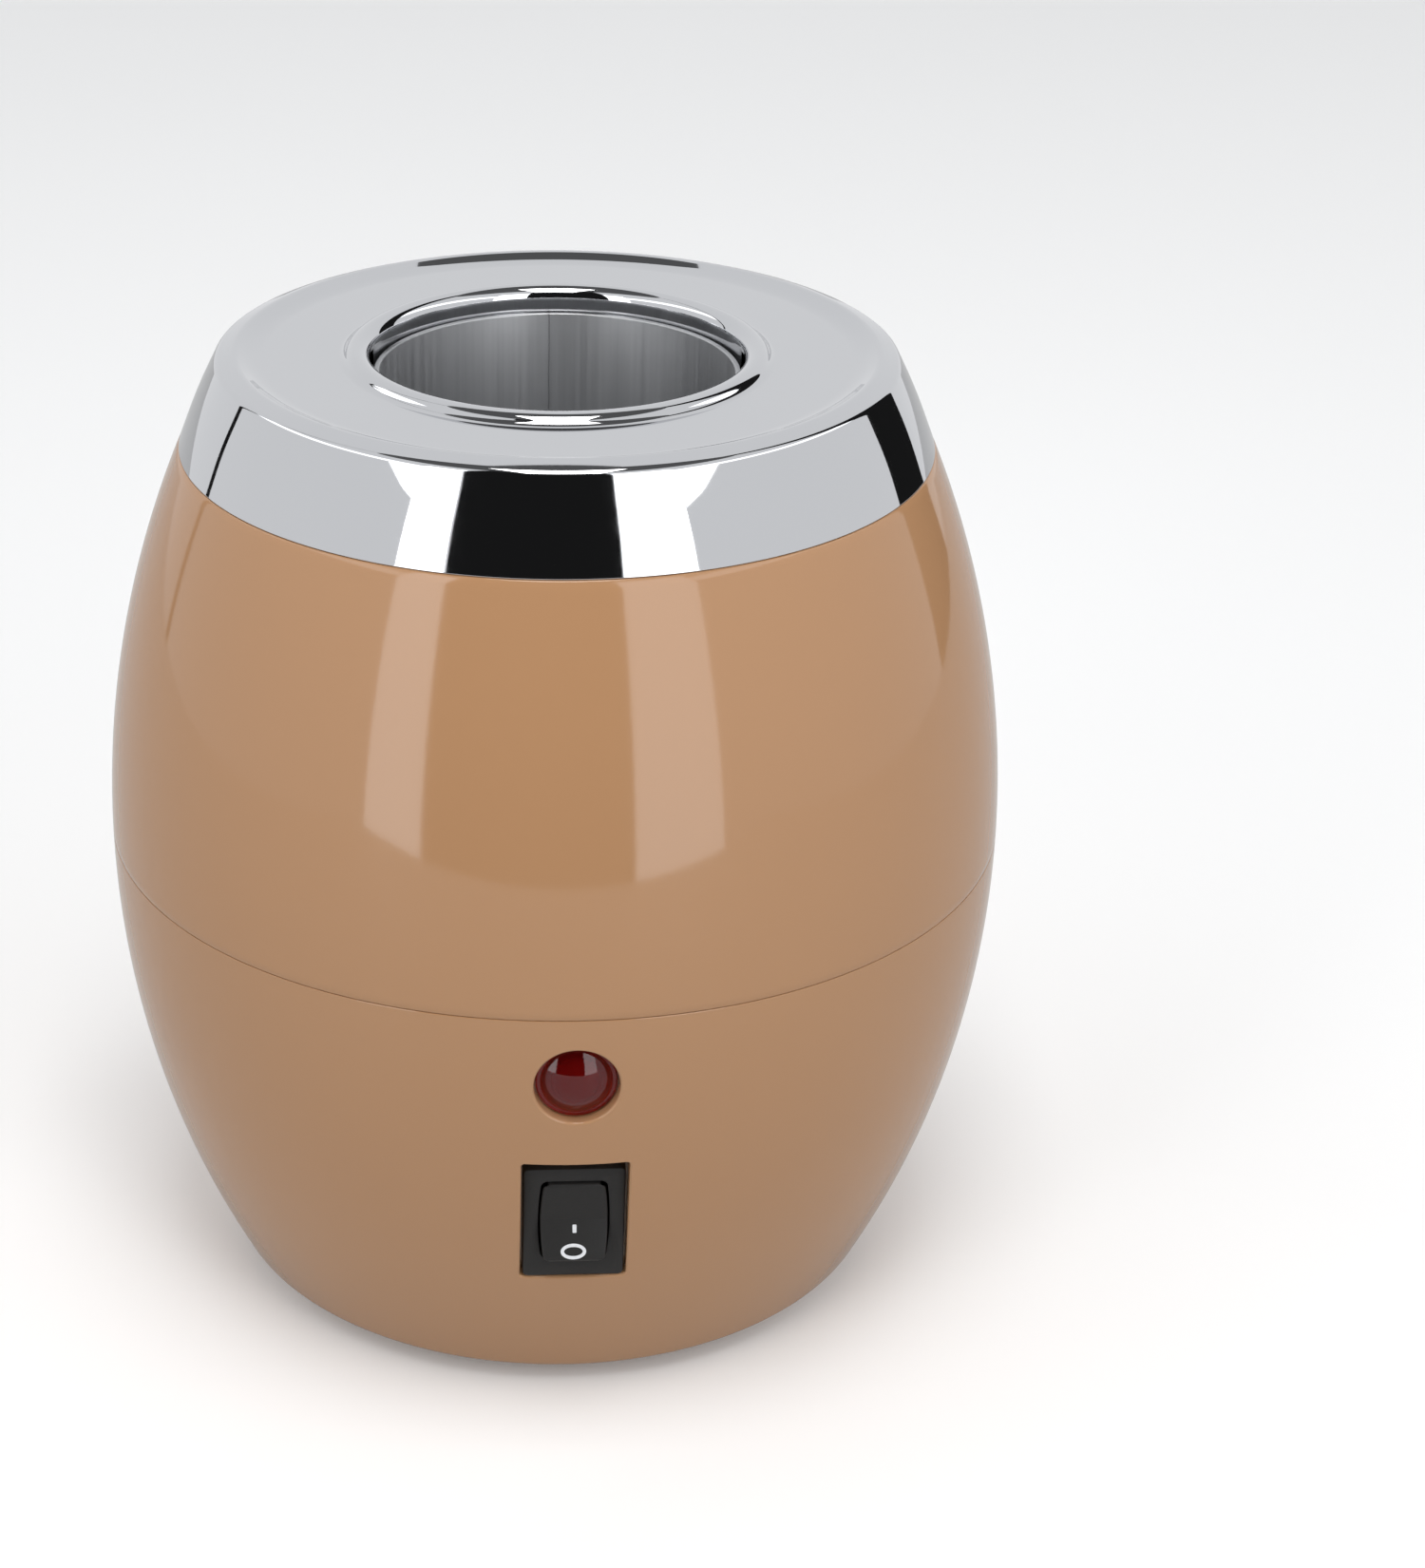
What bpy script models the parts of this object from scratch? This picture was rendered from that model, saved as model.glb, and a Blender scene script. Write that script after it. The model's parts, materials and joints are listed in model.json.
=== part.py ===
"""Wax warmer pot: a two-piece plastic barrel with a chromed cap around a heated aluminium well.

Units are metres and +Z is up.  The origin is on the supporting surface, under the pot's axis.
The rocker switch and the pilot lamp face -Y, and the cord gland faces +Y.
"""
import math

import bmesh
import bpy
from mathutils import Vector

# ---------------------------------------------------------------- driving dimensions
GAP = 0.0003                    # clearance between two pieces that touch
BODY_STEPS = 40                 # facets round the barrel, cap and well
SMALL_STEPS = 20                # facets round pilot lamp and other small turned pieces
SCREW_STEPS = 12                # facets round screws and their holes
SEAT_STEPS = 32                 # facets round the lamp's and the gland's seats
FACING_FRONT = (math.pi / 2, 0.0, 0.0)      # turns a piece's own +Z to -Y
FACING_BACK = (-math.pi / 2, 0.0, 0.0)      # turns a piece's own +Z to +Y

BODY_RADIUS = 0.0710            # barrel at its widest
BARREL_ARC = 0.1576             # radius of the arc that the barrel's side follows
EQUATOR_Z = 0.0758              # height of the widest point, where the two shells meet
BASE_Z = 0.0026                 # flat underside of the barrel
BASE_CORNER = 0.0040            # rounding between side and underside
SHELL_WALL = 0.0024
BASE_OPENING = 0.0460           # radius of the hole that the base plate closes
TONGUE_DEPTH = 0.0024           # upper shell's lip inside the lower shell
TONGUE_WALL = 0.0016
SHELF_THICKNESS = 0.0022        # top shelf of the upper shell

CAP_LINE_Z = 0.1385             # chrome meets plastic here
CAP_WALL = 0.0016
RIM_RADIUS = 0.0516             # outer corner of the cap
RIM_Z = 0.1534
TROUGH_Z = 0.1519               # flat ring between the rim and the bead
TROUGH_OUTER = 0.0480
BEAD_OUTER = 0.0328             # foot of the raised bead round the hole
BEAD_CREST = 0.0305
BEAD_Z = 0.1535
HOLE_RADIUS = 0.0284
HOLE_EDGE_Z = 0.1513
SKIRT_Z = 0.1440                # lower end of the cap's inner skirt
SHELF_RADIUS = 0.0415           # hole in the upper shell's top shelf
CAP_POST_RADIUS = 0.0035
CAP_BULGE = 0.0002              # how far the cap's side swells past a straight cone

SLEEVE_OUTER = 0.0280
SLEEVE_INNER = 0.0271
SLEEVE_TOP = 0.1495
WELL_FLOOR_Z = 0.0390
FLOOR_UNDERSIDE_Z = 0.0330
SEAM_WIDTH = 0.0006
FLOOR_LIP = 0.0030              # how far the floor plug reaches up into the sleeve

BAND_OUTER = 0.0301
BAND_BOTTOM = 0.0420
BAND_TOP = 0.1200
BAND_SLIT = 0.0040
EAR_REACH = 0.0370
EAR_THICKNESS = 0.0015
EAR_HEIGHT = 0.0070
EAR_HOLE_INSET = 0.0030         # screw hole to the ear's outer end
WRAP_OUTER = 0.0345
WRAP_BOTTOM = 0.0510
WRAP_TOP = 0.1110

PLATE_THICKNESS = 0.0024
SCREW_CIRCLE = 0.0410           # base screws
FOOT_CIRCLE = 0.0380
FOOT_RADIUS = 0.0055
FOOT_RECESS = 0.0008
CAP_SCREW_CIRCLE = 0.0460
POST_RADIUS = 0.0038            # lower shell's screw posts
POST_HEIGHT = 0.0150
RIB_LENGTH = 0.0110             # rib from each post to the wall
RIB_THICKNESS = 0.0022
RIB_HEIGHT = 0.0080
SCREW_SHANK = 0.0014            # radius of every self-tapping screw
SCREW_HOLE = 0.0018             # radius of its hole
SINK_RADIUS = 0.0034            # recess for a base screw's head
SINK_DEPTH = 0.0010

SHEET = 0.0012                  # well bracket
BRACKET_LEG_X = 0.0190
BRACKET_FOOT_X = 0.0290
BRACKET_SCREW_X = 0.0245
BRACKET_WIDTH = 0.0140
CLIP_SHEET = 0.0008
CLIP_WIDTH = 0.0060
THERMOSTAT_Y = 0.0172
THERMOSTAT_BOTTOM = 0.0230
THERMOSTAT_CAP_RADIUS = 0.0078
THERMOSTAT_RADIUS = 0.0068
TAB_HEIGHT = 0.0060
TAB_X = 0.0048
FUSE_RADIUS = 0.0020
FUSE_HALF_LENGTH = 0.0055
FUSE_Z = 0.0700
TERMINAL_BLOCK_SIZE = (0.0200, 0.0120, 0.0110)
TERMINAL_BLOCK_Y = 0.0335
TERMINAL_ENTRY_X = 0.0050
TERMINAL_ENTRY_RISE = 0.0050    # wire entries above the base plate

SWITCH_Z = 0.0379               # centre of the bezel
SWITCH_Y = -0.06455
SWITCH_TILT = math.radians(8.5)
BEZEL_WIDTH = 0.0150
BEZEL_HEIGHT = 0.0210
BEZEL_THICKNESS = 0.0020
POCKET_WIDTH = 0.0166
POCKET_HEIGHT = 0.0240
POCKET_OFFSET = 0.0007          # pocket centre above the bezel centre
POCKET_WALL = 0.0020
HOUSING_WIDTH = 0.0129
HOUSING_HEIGHT = 0.0192
HOUSING_DEPTH = 0.0145          # from the bezel's front
WINDOW_WIDTH = 0.0109
WINDOW_HEIGHT = 0.0153
CAVITY_DEPTH = 0.0125
PIVOT_DEPTH = 0.0018            # rocker's hinge axis behind the bezel's front
ROCKER_WIDTH = 0.0102
ROCKER_RADIUS = 0.00735         # hinge axis to the rocker's ends
ROCKER_HALF_TRAVEL = math.radians(11.0)
PLUNGER_REACH = 0.0060          # hinge axis to the plunger's tip
BLADE_DEPTH = 0.0087            # contact blade's pivot behind the bezel's front
BLADE_HALF_TRAVEL = math.radians(7.0)
PIN_RADIUS = 0.0012
PIN_REACH = 0.0007              # hinge pins beyond the rocker's sides
STEM_RADIUS = 0.0024
STEM_LENGTH = 0.0030
STEM_BORE = 0.0015
PLUNGER_RADIUS = 0.0012
PLUNGER_FOOT = 0.0027           # plunger's inner end from the hinge axis
TERMINAL_SIZE = (0.0048, 0.0120, 0.0008)
TERMINAL_RISE = 0.0044          # terminals above and below the switch's centre
BLADE_SIZE = (0.0044, 0.0007, 0.0104)
FULCRUM_SIZE = (0.0060, 0.0034, 0.0010)

LAMP_Z = 0.0640
LAMP_RECESS_RADIUS = 0.0065
LAMP_SEAT_Y = -0.0676           # floor of the lamp's recess
LENS_RADIUS = 0.0059
LAMP_BODY_RADIUS = 0.0045
LAMP_BORE = 0.0034
LAMP_LENGTH = 0.0120
LAMP_SEAT_WALL = 0.0018         # wall of the lamp's seat inside the shell
LAMP_SEAT_THICKNESS = 0.0020

GLAND_Z = 0.0220
GLAND_SEAT_Y = 0.0625
GLAND_BORE = 0.0036
GLAND_NECK = 0.0045
GLAND_FLANGE = 0.0078
GLAND_LENGTH = 0.0120
GLAND_SEAT_RADIUS = 0.0087
GLAND_BOSS_RADIUS = 0.0100
GLAND_BOSS_LENGTH = 0.0085
GLAND_NUT_RADIUS = 0.0080
GLAND_NUT_THICKNESS = 0.0034

WIRE_RADIUS = 0.0009

# ---------------------------------------------------------------- scene and materials
for old in list(bpy.data.objects):
    bpy.data.objects.remove(old, do_unlink=True)

parts = bpy.data.collections.new("wax_warmer_pot")
cutters = bpy.data.collections.new("wax_warmer_pot_cutters")
bpy.context.scene.collection.children.link(parts)
bpy.context.scene.collection.children.link(cutters)


def new_material(name, colour, roughness, metallic=0.0):
    """A Principled BSDF with one colour."""
    material = bpy.data.materials.new(name)
    material.use_nodes = True
    shader = material.node_tree.nodes["Principled BSDF"]
    shader.inputs["Base Color"].default_value = (*colour, 1.0)
    shader.inputs["Roughness"].default_value = roughness
    shader.inputs["Metallic"].default_value = metallic
    return material


TAN = new_material("tan_plastic", (0.43, 0.27, 0.155), 0.18)
CHROME = new_material("chrome_plate", (0.80, 0.80, 0.81), 0.05, 1.0)
ALUMINIUM = new_material("aluminium", (0.55, 0.56, 0.57), 0.35, 1.0)
STEEL = new_material("zinc_steel", (0.60, 0.60, 0.58), 0.35, 1.0)
BRASS = new_material("brass", (0.75, 0.58, 0.28), 0.35, 1.0)
BLACK = new_material("black_plastic", (0.03, 0.028, 0.027), 0.45)
RED_LENS = new_material("red_lens", (0.28, 0.01, 0.01), 0.08)
RUBBER = new_material("black_rubber", (0.02, 0.02, 0.02), 0.80)
FIBRE = new_material("glass_fibre", (0.85, 0.84, 0.80), 0.90)
MICA = new_material("mica_steel", (0.42, 0.40, 0.36), 0.45, 0.7)
CERAMIC = new_material("ceramic", (0.80, 0.78, 0.72), 0.50)
WHITE = new_material("white_plastic", (0.80, 0.80, 0.78), 0.40)
GLASS = new_material("bulb_glass", (0.90, 0.75, 0.65), 0.05)
WIRE_BROWN = new_material("wire_brown", (0.20, 0.08, 0.04), 0.50)
WIRE_BLUE = new_material("wire_blue", (0.03, 0.10, 0.40), 0.50)


# ---------------------------------------------------------------- modelling tools
def add(name, mesh, material, location=(0, 0, 0), rotation=(0, 0, 0), parent=None):
    """Put a mesh into the model as one named sub-part."""
    piece = bpy.data.objects.new(name, mesh)
    piece.location = location
    piece.rotation_euler = rotation
    piece.parent = parent
    if material is None:
        cutters.objects.link(piece)
        piece.hide_render = True
        piece.display_type = "WIRE"
    else:
        parts.objects.link(piece)
        mesh.materials.clear()
        mesh.materials.append(material)
    return piece


def add_empty(name, location, tilt=0.0, parent=None):
    """An axis or a sub-frame that other pieces hang on, tilted about X."""
    empty = bpy.data.objects.new(name, None)
    parts.objects.link(empty)
    empty.location = location
    empty.rotation_euler = (tilt, 0.0, 0.0)
    empty.parent = parent
    return empty


def turned(name, outline, material, steps=BODY_STEPS, closed=True, **place):
    """Turn an outline of (radius, height) points round Z; it runs down its outer side."""
    mesh = bpy.data.meshes.new(name)
    count = len(outline)
    edges = [(i, i + 1) for i in range(count - 1)]
    if closed:
        edges.append((count - 1, 0))
    mesh.from_pydata([(radius, 0.0, height) for radius, height in outline], edges, [])
    piece = add(name, mesh, material, **place)
    screw = piece.modifiers.new("turn", "SCREW")
    screw.axis = "Z"
    screw.angle = math.tau
    screw.steps = steps
    screw.render_steps = steps
    screw.use_merge_vertices = True
    screw.merge_threshold = 0.00001
    screw.use_smooth_shade = material is not None
    return piece


def block(name, size, material, location=(0, 0, 0), **place):
    """A box of the given size, centred on its location."""
    mesh = bpy.data.meshes.new(name)
    shape = bmesh.new()
    bmesh.ops.create_cube(shape, size=1.0)
    bmesh.ops.scale(shape, vec=Vector(size), verts=shape.verts)
    shape.to_mesh(mesh)
    shape.free()
    return add(name, mesh, material, location=location, **place)


def rod(name, radius, length, material, location=(0, 0, 0), rotation=(0, 0, 0), steps=SMALL_STEPS, **place):
    """A cylinder along its own Z, centred on its location."""
    mesh = bpy.data.meshes.new(name)
    shape = bmesh.new()
    bmesh.ops.create_cone(shape, cap_ends=True, segments=steps, radius1=radius, radius2=radius, depth=length)
    shape.to_mesh(mesh)
    shape.free()
    mesh.shade_smooth()
    mesh.set_sharp_from_angle(angle=math.radians(40))
    return add(name, mesh, material, location=location, rotation=rotation, **place)


def combine(piece, tool, operation):
    """Boolean with an exact solver; the tool stays hidden."""
    step = piece.modifiers.new(operation.lower(), "BOOLEAN")
    step.operation = operation
    step.solver = "EXACT"
    step.object = tool


def curve_to_mesh(name, curve, material, **place):
    """Turn a filled curve into a welded mesh piece."""
    guide = bpy.data.objects.new(name + "_guide", curve)
    parts.objects.link(guide)
    bpy.context.view_layer.update()
    evaluated = guide.evaluated_get(bpy.context.evaluated_depsgraph_get())
    mesh = bpy.data.meshes.new_from_object(evaluated)
    shape = bmesh.new()
    shape.from_mesh(mesh)
    bmesh.ops.remove_doubles(shape, verts=shape.verts, dist=0.000001)
    shape.to_mesh(mesh)
    shape.free()
    bpy.data.objects.remove(guide)
    return add(name, mesh, material, **place)


def plate(name, outline, thickness, material, **place):
    """A flat outline in its own XY plane, extruded evenly to both sides."""
    curve = bpy.data.curves.new(name, "CURVE")
    curve.dimensions = "2D"
    curve.fill_mode = "BOTH"
    curve.extrude = thickness / 2
    spline = curve.splines.new("POLY")
    spline.points.add(len(outline) - 1)
    for point, (x, y) in zip(spline.points, outline):
        point.co = (x, y, 0.0, 1.0)
    spline.use_cyclic_u = True
    return curve_to_mesh(name, curve, material, **place)


def strip(name, path, width, thickness, material, **place):
    """Bent sheet metal: a path of (along, up) points swept over its width, then thickened."""
    mesh = bpy.data.meshes.new(name)
    verts = [(along, side * width / 2, up) for along, up in path for side in (-1, 1)]
    faces = [(2 * i, 2 * i + 2, 2 * i + 3, 2 * i + 1) for i in range(len(path) - 1)]
    mesh.from_pydata(verts, [], faces)
    piece = add(name, mesh, material, **place)
    thicken = piece.modifiers.new("sheet", "SOLIDIFY")
    thicken.thickness = thickness
    thicken.offset = 0.0
    thicken.use_even_offset = True
    return piece


def smooth_route(knots, spacing):
    """Points at an even spacing along a Catmull-Rom curve through the knots."""
    ends = [2 * knots[0] - knots[1], *knots, 2 * knots[-1] - knots[-2]]
    route = []
    for a, b, c, d in zip(ends, ends[1:], ends[2:], ends[3:]):
        count = max(1, round((c - b).length / spacing))
        for i in range(count):
            t = i / count
            bend = (2 * a - 5 * b + 4 * c - d) * t * t
            twist = (3 * b - 3 * c + d - a) * t * t * t
            route.append((2 * b + (c - a) * t + bend + twist) / 2)
    route.append(knots[-1])
    return route


def wire(name, knots, radius, material, spacing=0.004):
    """An insulated wire or spring along a smooth route."""
    curve = bpy.data.curves.new(name, "CURVE")
    curve.dimensions = "3D"
    curve.bevel_depth = radius
    curve.bevel_resolution = 1
    curve.use_fill_caps = True
    route = smooth_route([Vector(knot) for knot in knots], spacing)
    spline = curve.splines.new("POLY")
    spline.points.add(len(route) - 1)
    for point, place in zip(spline.points, route):
        point.co = (*place, 1.0)
    curve.materials.append(material)
    piece = bpy.data.objects.new(name, curve)
    parts.objects.link(piece)
    return piece


def on_circle(radius, degrees, height):
    """A point on a circle round the pot's axis."""
    angle = math.radians(degrees)
    return (radius * math.cos(angle), radius * math.sin(angle), height)


def screw_piece(name, head_radius, head_height, shank_radius, length, location, **place):
    """A pan-head screw with its head below its origin and its shank rising from it."""
    outline = [
        (0.0, length),
        (shank_radius * 0.5, length),
        (shank_radius, length - shank_radius * 0.5),
        (shank_radius, 0.0),
        (head_radius, 0.0),
        (head_radius, -head_height * 0.6),
        (head_radius * 0.75, -head_height),
        (0.0, -head_height),
    ]
    return turned(name, outline, STEEL, steps=SCREW_STEPS, closed=False, location=location, **place)


# ---------------------------------------------------------------- barrel
def barrel_radius(height, inset=0.0):
    """Radius of the barrel's side, or of its inner face, at a height."""
    arc = BARREL_ARC - inset
    return BODY_RADIUS - BARREL_ARC + math.sqrt(arc * arc - (height - EQUATOR_Z) ** 2)


def barrel_side(top, bottom, count, inset=0.0):
    """Points down the barrel's side."""
    heights = [top + (bottom - top) * i / count for i in range(count + 1)]
    return [(barrel_radius(height, inset), height) for height in heights]


def base_corner(inset=0.0, count=3):
    """The rounding from the barrel's side into its flat underside."""
    lean = math.asin((EQUATOR_Z - BASE_Z) / BARREL_ARC)
    tangent = BASE_CORNER * math.tan((math.pi / 2 - lean) / 2)
    centre_radius = barrel_radius(BASE_Z) - tangent
    radius = BASE_CORNER - inset
    points = []
    for i in range(count + 1):
        angle = lean + (math.pi / 2 - lean) * i / count
        height = BASE_Z + BASE_CORNER - radius * math.sin(angle)
        points.append((centre_radius + radius * math.cos(angle), height))
    return points


def make_lower_shell():
    """Lower barrel half, with seats for the switch, lamp, gland and base screws."""
    top = EQUATOR_Z - GAP / 2
    corner_top = base_corner()[0][1]
    inner_corner = base_corner(inset=SHELL_WALL)
    outline = barrel_side(top, corner_top, 6)[:-1]
    outline += base_corner()
    outline += [(BASE_OPENING, BASE_Z), (BASE_OPENING, BASE_Z + SHELL_WALL)]
    outline += inner_corner[::-1]
    outline += barrel_side(top, inner_corner[0][1], 5, inset=SHELL_WALL)[:-1][::-1]
    shell = turned("lower_shell", outline, TAN)

    mid_wall = SHELL_WALL / 2
    solid = barrel_side(top, corner_top, 6, inset=mid_wall)[:-1] + base_corner(inset=mid_wall)
    envelope = turned(
        "barrel_envelope",
        [(0.0, top), *solid, (0.0, BASE_Z + mid_wall)],
        None,
        closed=False,
    )

    pocket_floor = BEZEL_THICKNESS + GAP
    frame_depth = pocket_floor + POCKET_WALL
    past_skin = 0.008
    frame = block(
        "pocket_frame",
        (POCKET_WIDTH + 2 * POCKET_WALL, frame_depth + past_skin, POCKET_HEIGHT + 2 * POCKET_WALL),
        None,
        location=(0.0, (frame_depth - past_skin) / 2, POCKET_OFFSET),
        parent=switch_frame,
    )
    combine(frame, envelope, "INTERSECT")
    combine(shell, frame, "UNION")
    lamp_seat = rod(
        "lamp_seat",
        LAMP_RECESS_RADIUS + LAMP_SEAT_WALL,
        4 * LAMP_SEAT_THICKNESS,
        None,
        location=(0.0, LAMP_SEAT_Y - LAMP_SEAT_THICKNESS, LAMP_Z),
        rotation=FACING_FRONT,
        steps=SEAT_STEPS,
    )
    combine(lamp_seat, envelope, "INTERSECT")
    combine(shell, lamp_seat, "UNION")
    gland_boss = rod(
        "gland_boss",
        GLAND_BOSS_RADIUS,
        GLAND_BOSS_LENGTH,
        None,
        location=(0.0, GLAND_SEAT_Y - GLAND_BOSS_LENGTH / 2, GLAND_Z),
        rotation=FACING_FRONT,
        steps=SEAT_STEPS,
    )
    combine(shell, gland_boss, "UNION")
    for index in range(4):
        angle = 45.0 + 90.0 * index
        boss_bottom = BASE_Z + PLATE_THICKNESS + GAP
        post = rod(
            f"screw_post_{index + 1}",
            POST_RADIUS,
            POST_HEIGHT,
            None,
            location=on_circle(SCREW_CIRCLE, angle, boss_bottom + POST_HEIGHT / 2),
        )
        rib = block(
            f"post_rib_{index + 1}",
            (RIB_LENGTH, RIB_THICKNESS, RIB_HEIGHT),
            None,
            location=on_circle(
                SCREW_CIRCLE + RIB_LENGTH / 2 + GAP,
                angle,
                boss_bottom + RIB_HEIGHT / 2 + 2 * GAP,
            ),
            rotation=(0.0, 0.0, math.radians(angle)),
        )
        bore = rod(
            f"post_bore_{index + 1}",
            SCREW_HOLE,
            0.0120,
            None,
            location=on_circle(SCREW_CIRCLE, angle, boss_bottom + 0.0050),
        )
        combine(shell, post, "UNION")
        combine(shell, rib, "UNION")
        combine(shell, bore, "DIFFERENCE")

    pocket = block(
        "pocket_space",
        (POCKET_WIDTH, pocket_floor + 1.5 * past_skin, POCKET_HEIGHT),
        None,
        location=(0.0, (pocket_floor - 1.5 * past_skin) / 2, POCKET_OFFSET),
        parent=switch_frame,
    )
    combine(shell, pocket, "DIFFERENCE")
    window = block(
        "housing_window",
        (HOUSING_WIDTH + 2 * GAP, 0.020, HOUSING_HEIGHT + 2 * GAP),
        None,
        parent=switch_frame,
    )
    combine(shell, window, "DIFFERENCE")
    recess = rod(
        "lamp_recess",
        LAMP_RECESS_RADIUS,
        0.0100,
        None,
        location=(0.0, LAMP_SEAT_Y - 0.0050, LAMP_Z),
        rotation=FACING_FRONT,
        steps=SEAT_STEPS,
    )
    combine(shell, recess, "DIFFERENCE")
    lamp_hole = rod(
        "lamp_hole",
        LAMP_BODY_RADIUS + GAP,
        0.0200,
        None,
        location=(0.0, LAMP_SEAT_Y, LAMP_Z),
        rotation=FACING_FRONT,
    )
    combine(shell, lamp_hole, "DIFFERENCE")
    seat = rod(
        "gland_seat",
        GLAND_SEAT_RADIUS,
        0.0100,
        None,
        location=(0.0, GLAND_SEAT_Y + 0.0050, GLAND_Z),
        rotation=FACING_FRONT,
        steps=SEAT_STEPS,
    )
    combine(shell, seat, "DIFFERENCE")
    gland_hole = rod(
        "gland_hole",
        GLAND_NECK + GAP,
        0.0300,
        None,
        location=(0.0, GLAND_SEAT_Y, GLAND_Z),
        rotation=FACING_FRONT,
    )
    combine(shell, gland_hole, "DIFFERENCE")


def make_upper_shell():
    """Upper barrel half with its tongue below and the shelf that carries the cap above."""
    bottom = EQUATOR_Z + GAP / 2
    top = CAP_LINE_Z - GAP / 2
    tongue_outer = BODY_RADIUS - SHELL_WALL - GAP
    tongue_inner = tongue_outer - TONGUE_WALL
    shelf_bottom = top - SHELF_THICKNESS
    outline = barrel_side(top, bottom, 6)
    outline += [(tongue_outer, bottom), (tongue_outer, bottom - TONGUE_DEPTH)]
    outline += [(tongue_inner, bottom - TONGUE_DEPTH), (tongue_inner, bottom + 0.0020)]
    outline += barrel_side(shelf_bottom, bottom + 0.0040, 4, inset=SHELL_WALL)[::-1]
    outline += [(SHELF_RADIUS, shelf_bottom), (SHELF_RADIUS, top)]
    shell = turned("upper_shell", outline, TAN)
    for index in range(3):
        hole = rod(
            f"shelf_hole_{index + 1}",
            SCREW_HOLE,
            0.0060,
            None,
            location=on_circle(CAP_SCREW_CIRCLE, 90.0 + 120.0 * index, top - SHELF_THICKNESS / 2),
            steps=SCREW_STEPS,
        )
        combine(shell, hole, "DIFFERENCE")


def cap_side(inset, bottom, count=2):
    """Points down the cap's slightly bulged conical side, set in by the wall or not."""
    top_radius = RIM_RADIUS + 0.00035
    top_z = RIM_Z - 0.0015
    foot_radius = barrel_radius(CAP_LINE_Z)
    points = []
    for i in range(count + 1):
        t = i / count
        bulge = CAP_BULGE * 4 * t * (1 - t)
        radius = top_radius + (foot_radius - top_radius) * t + bulge - inset
        points.append((radius, top_z + (bottom - top_z) * t))
    return points


def bead(count=5):
    """The half-round raised bead between the cap's hole and its flat ring."""
    inner_rise = BEAD_Z - HOLE_EDGE_Z
    outer_rise = BEAD_Z - TROUGH_Z
    points = []
    for i in range(count + 1):
        angle = math.pi * (1 - i / count)
        side = math.cos(angle)
        reach = BEAD_OUTER - BEAD_CREST if side > 0 else BEAD_CREST - HOLE_RADIUS
        rise = outer_rise if side > 0 else inner_rise
        points.append((BEAD_CREST + reach * side, BEAD_Z - rise * (1 - math.sin(angle))))
    return points


def make_top_cap():
    """Chromed cap: conical side, rounded rim, flat ring, bead and inner skirt, with screw posts."""
    foot_z = CAP_LINE_Z + GAP / 2
    underside = TROUGH_Z - CAP_WALL
    outline = bead()
    outline += [(TROUGH_OUTER, TROUGH_Z), (TROUGH_OUTER + 0.0010, RIM_Z - 0.0005)]
    outline += [(TROUGH_OUTER + 0.0020, RIM_Z), (RIM_RADIUS - 0.0005, RIM_Z - 0.0003)]
    outline += cap_side(0.0, foot_z)
    outline += cap_side(CAP_WALL + 0.0002, foot_z)[:0:-1]
    outline += [(TROUGH_OUTER, underside), (HOLE_RADIUS + CAP_WALL, underside)]
    outline += [(HOLE_RADIUS + CAP_WALL, SKIRT_Z), (HOLE_RADIUS, SKIRT_Z)]
    cap = turned("top_cap", outline, CHROME)
    post_top = underside + 0.0004
    post_length = post_top - foot_z
    for index in range(3):
        angle = 90.0 + 120.0 * index
        post = rod(
            f"cap_post_{index + 1}",
            CAP_POST_RADIUS,
            post_length,
            None,
            location=on_circle(CAP_SCREW_CIRCLE, angle, foot_z + post_length / 2),
            steps=16,
        )
        bore = rod(
            f"cap_bore_{index + 1}",
            SCREW_HOLE,
            0.0100,
            None,
            location=on_circle(CAP_SCREW_CIRCLE, angle, foot_z + 0.0040),
            steps=SCREW_STEPS,
        )
        combine(cap, post, "UNION")
        combine(cap, bore, "DIFFERENCE")
        screw_piece(
            f"cap_screw_{index + 1}",
            0.0028,
            0.0018,
            SCREW_SHANK,
            0.0105,
            on_circle(CAP_SCREW_CIRCLE, angle, CAP_LINE_Z - GAP / 2 - SHELF_THICKNESS - GAP),
        )


# ---------------------------------------------------------------- heated well
def ring(name, outer, inner, top, bottom, material, **place):
    """A plain turned ring."""
    outline = [(outer, top), (outer, bottom), (inner, bottom), (inner, top)]
    return turned(name, outline, material, **place)


def make_well():
    """Rolled aluminium sleeve with its seam at the back, and the floor plug that closes it."""
    sleeve_bottom = WELL_FLOOR_Z - FLOOR_LIP
    sleeve = ring("heating_sleeve", SLEEVE_OUTER, SLEEVE_INNER, SLEEVE_TOP, sleeve_bottom, ALUMINIUM)
    seam = block(
        "sleeve_seam",
        (SEAM_WIDTH, 0.0040, 0.2000),
        None,
        location=(0.0, SLEEVE_OUTER, SLEEVE_TOP / 2),
    )
    combine(sleeve, seam, "DIFFERENCE")
    plug_radius = SLEEVE_INNER - GAP
    step_z = sleeve_bottom - GAP
    outline = [
        (0.0, WELL_FLOOR_Z),
        (plug_radius, WELL_FLOOR_Z),
        (plug_radius, step_z),
        (SLEEVE_OUTER, step_z),
        (SLEEVE_OUTER, FLOOR_UNDERSIDE_Z),
        (0.0, FLOOR_UNDERSIDE_Z),
    ]
    floor = turned("well_floor", outline, ALUMINIUM, closed=False)
    bore = rod(
        "floor_bore",
        SCREW_HOLE,
        0.0080,
        None,
        location=(0.0, 0.0, FLOOR_UNDERSIDE_Z),
        steps=SCREW_STEPS,
    )
    combine(floor, bore, "DIFFERENCE")


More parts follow.
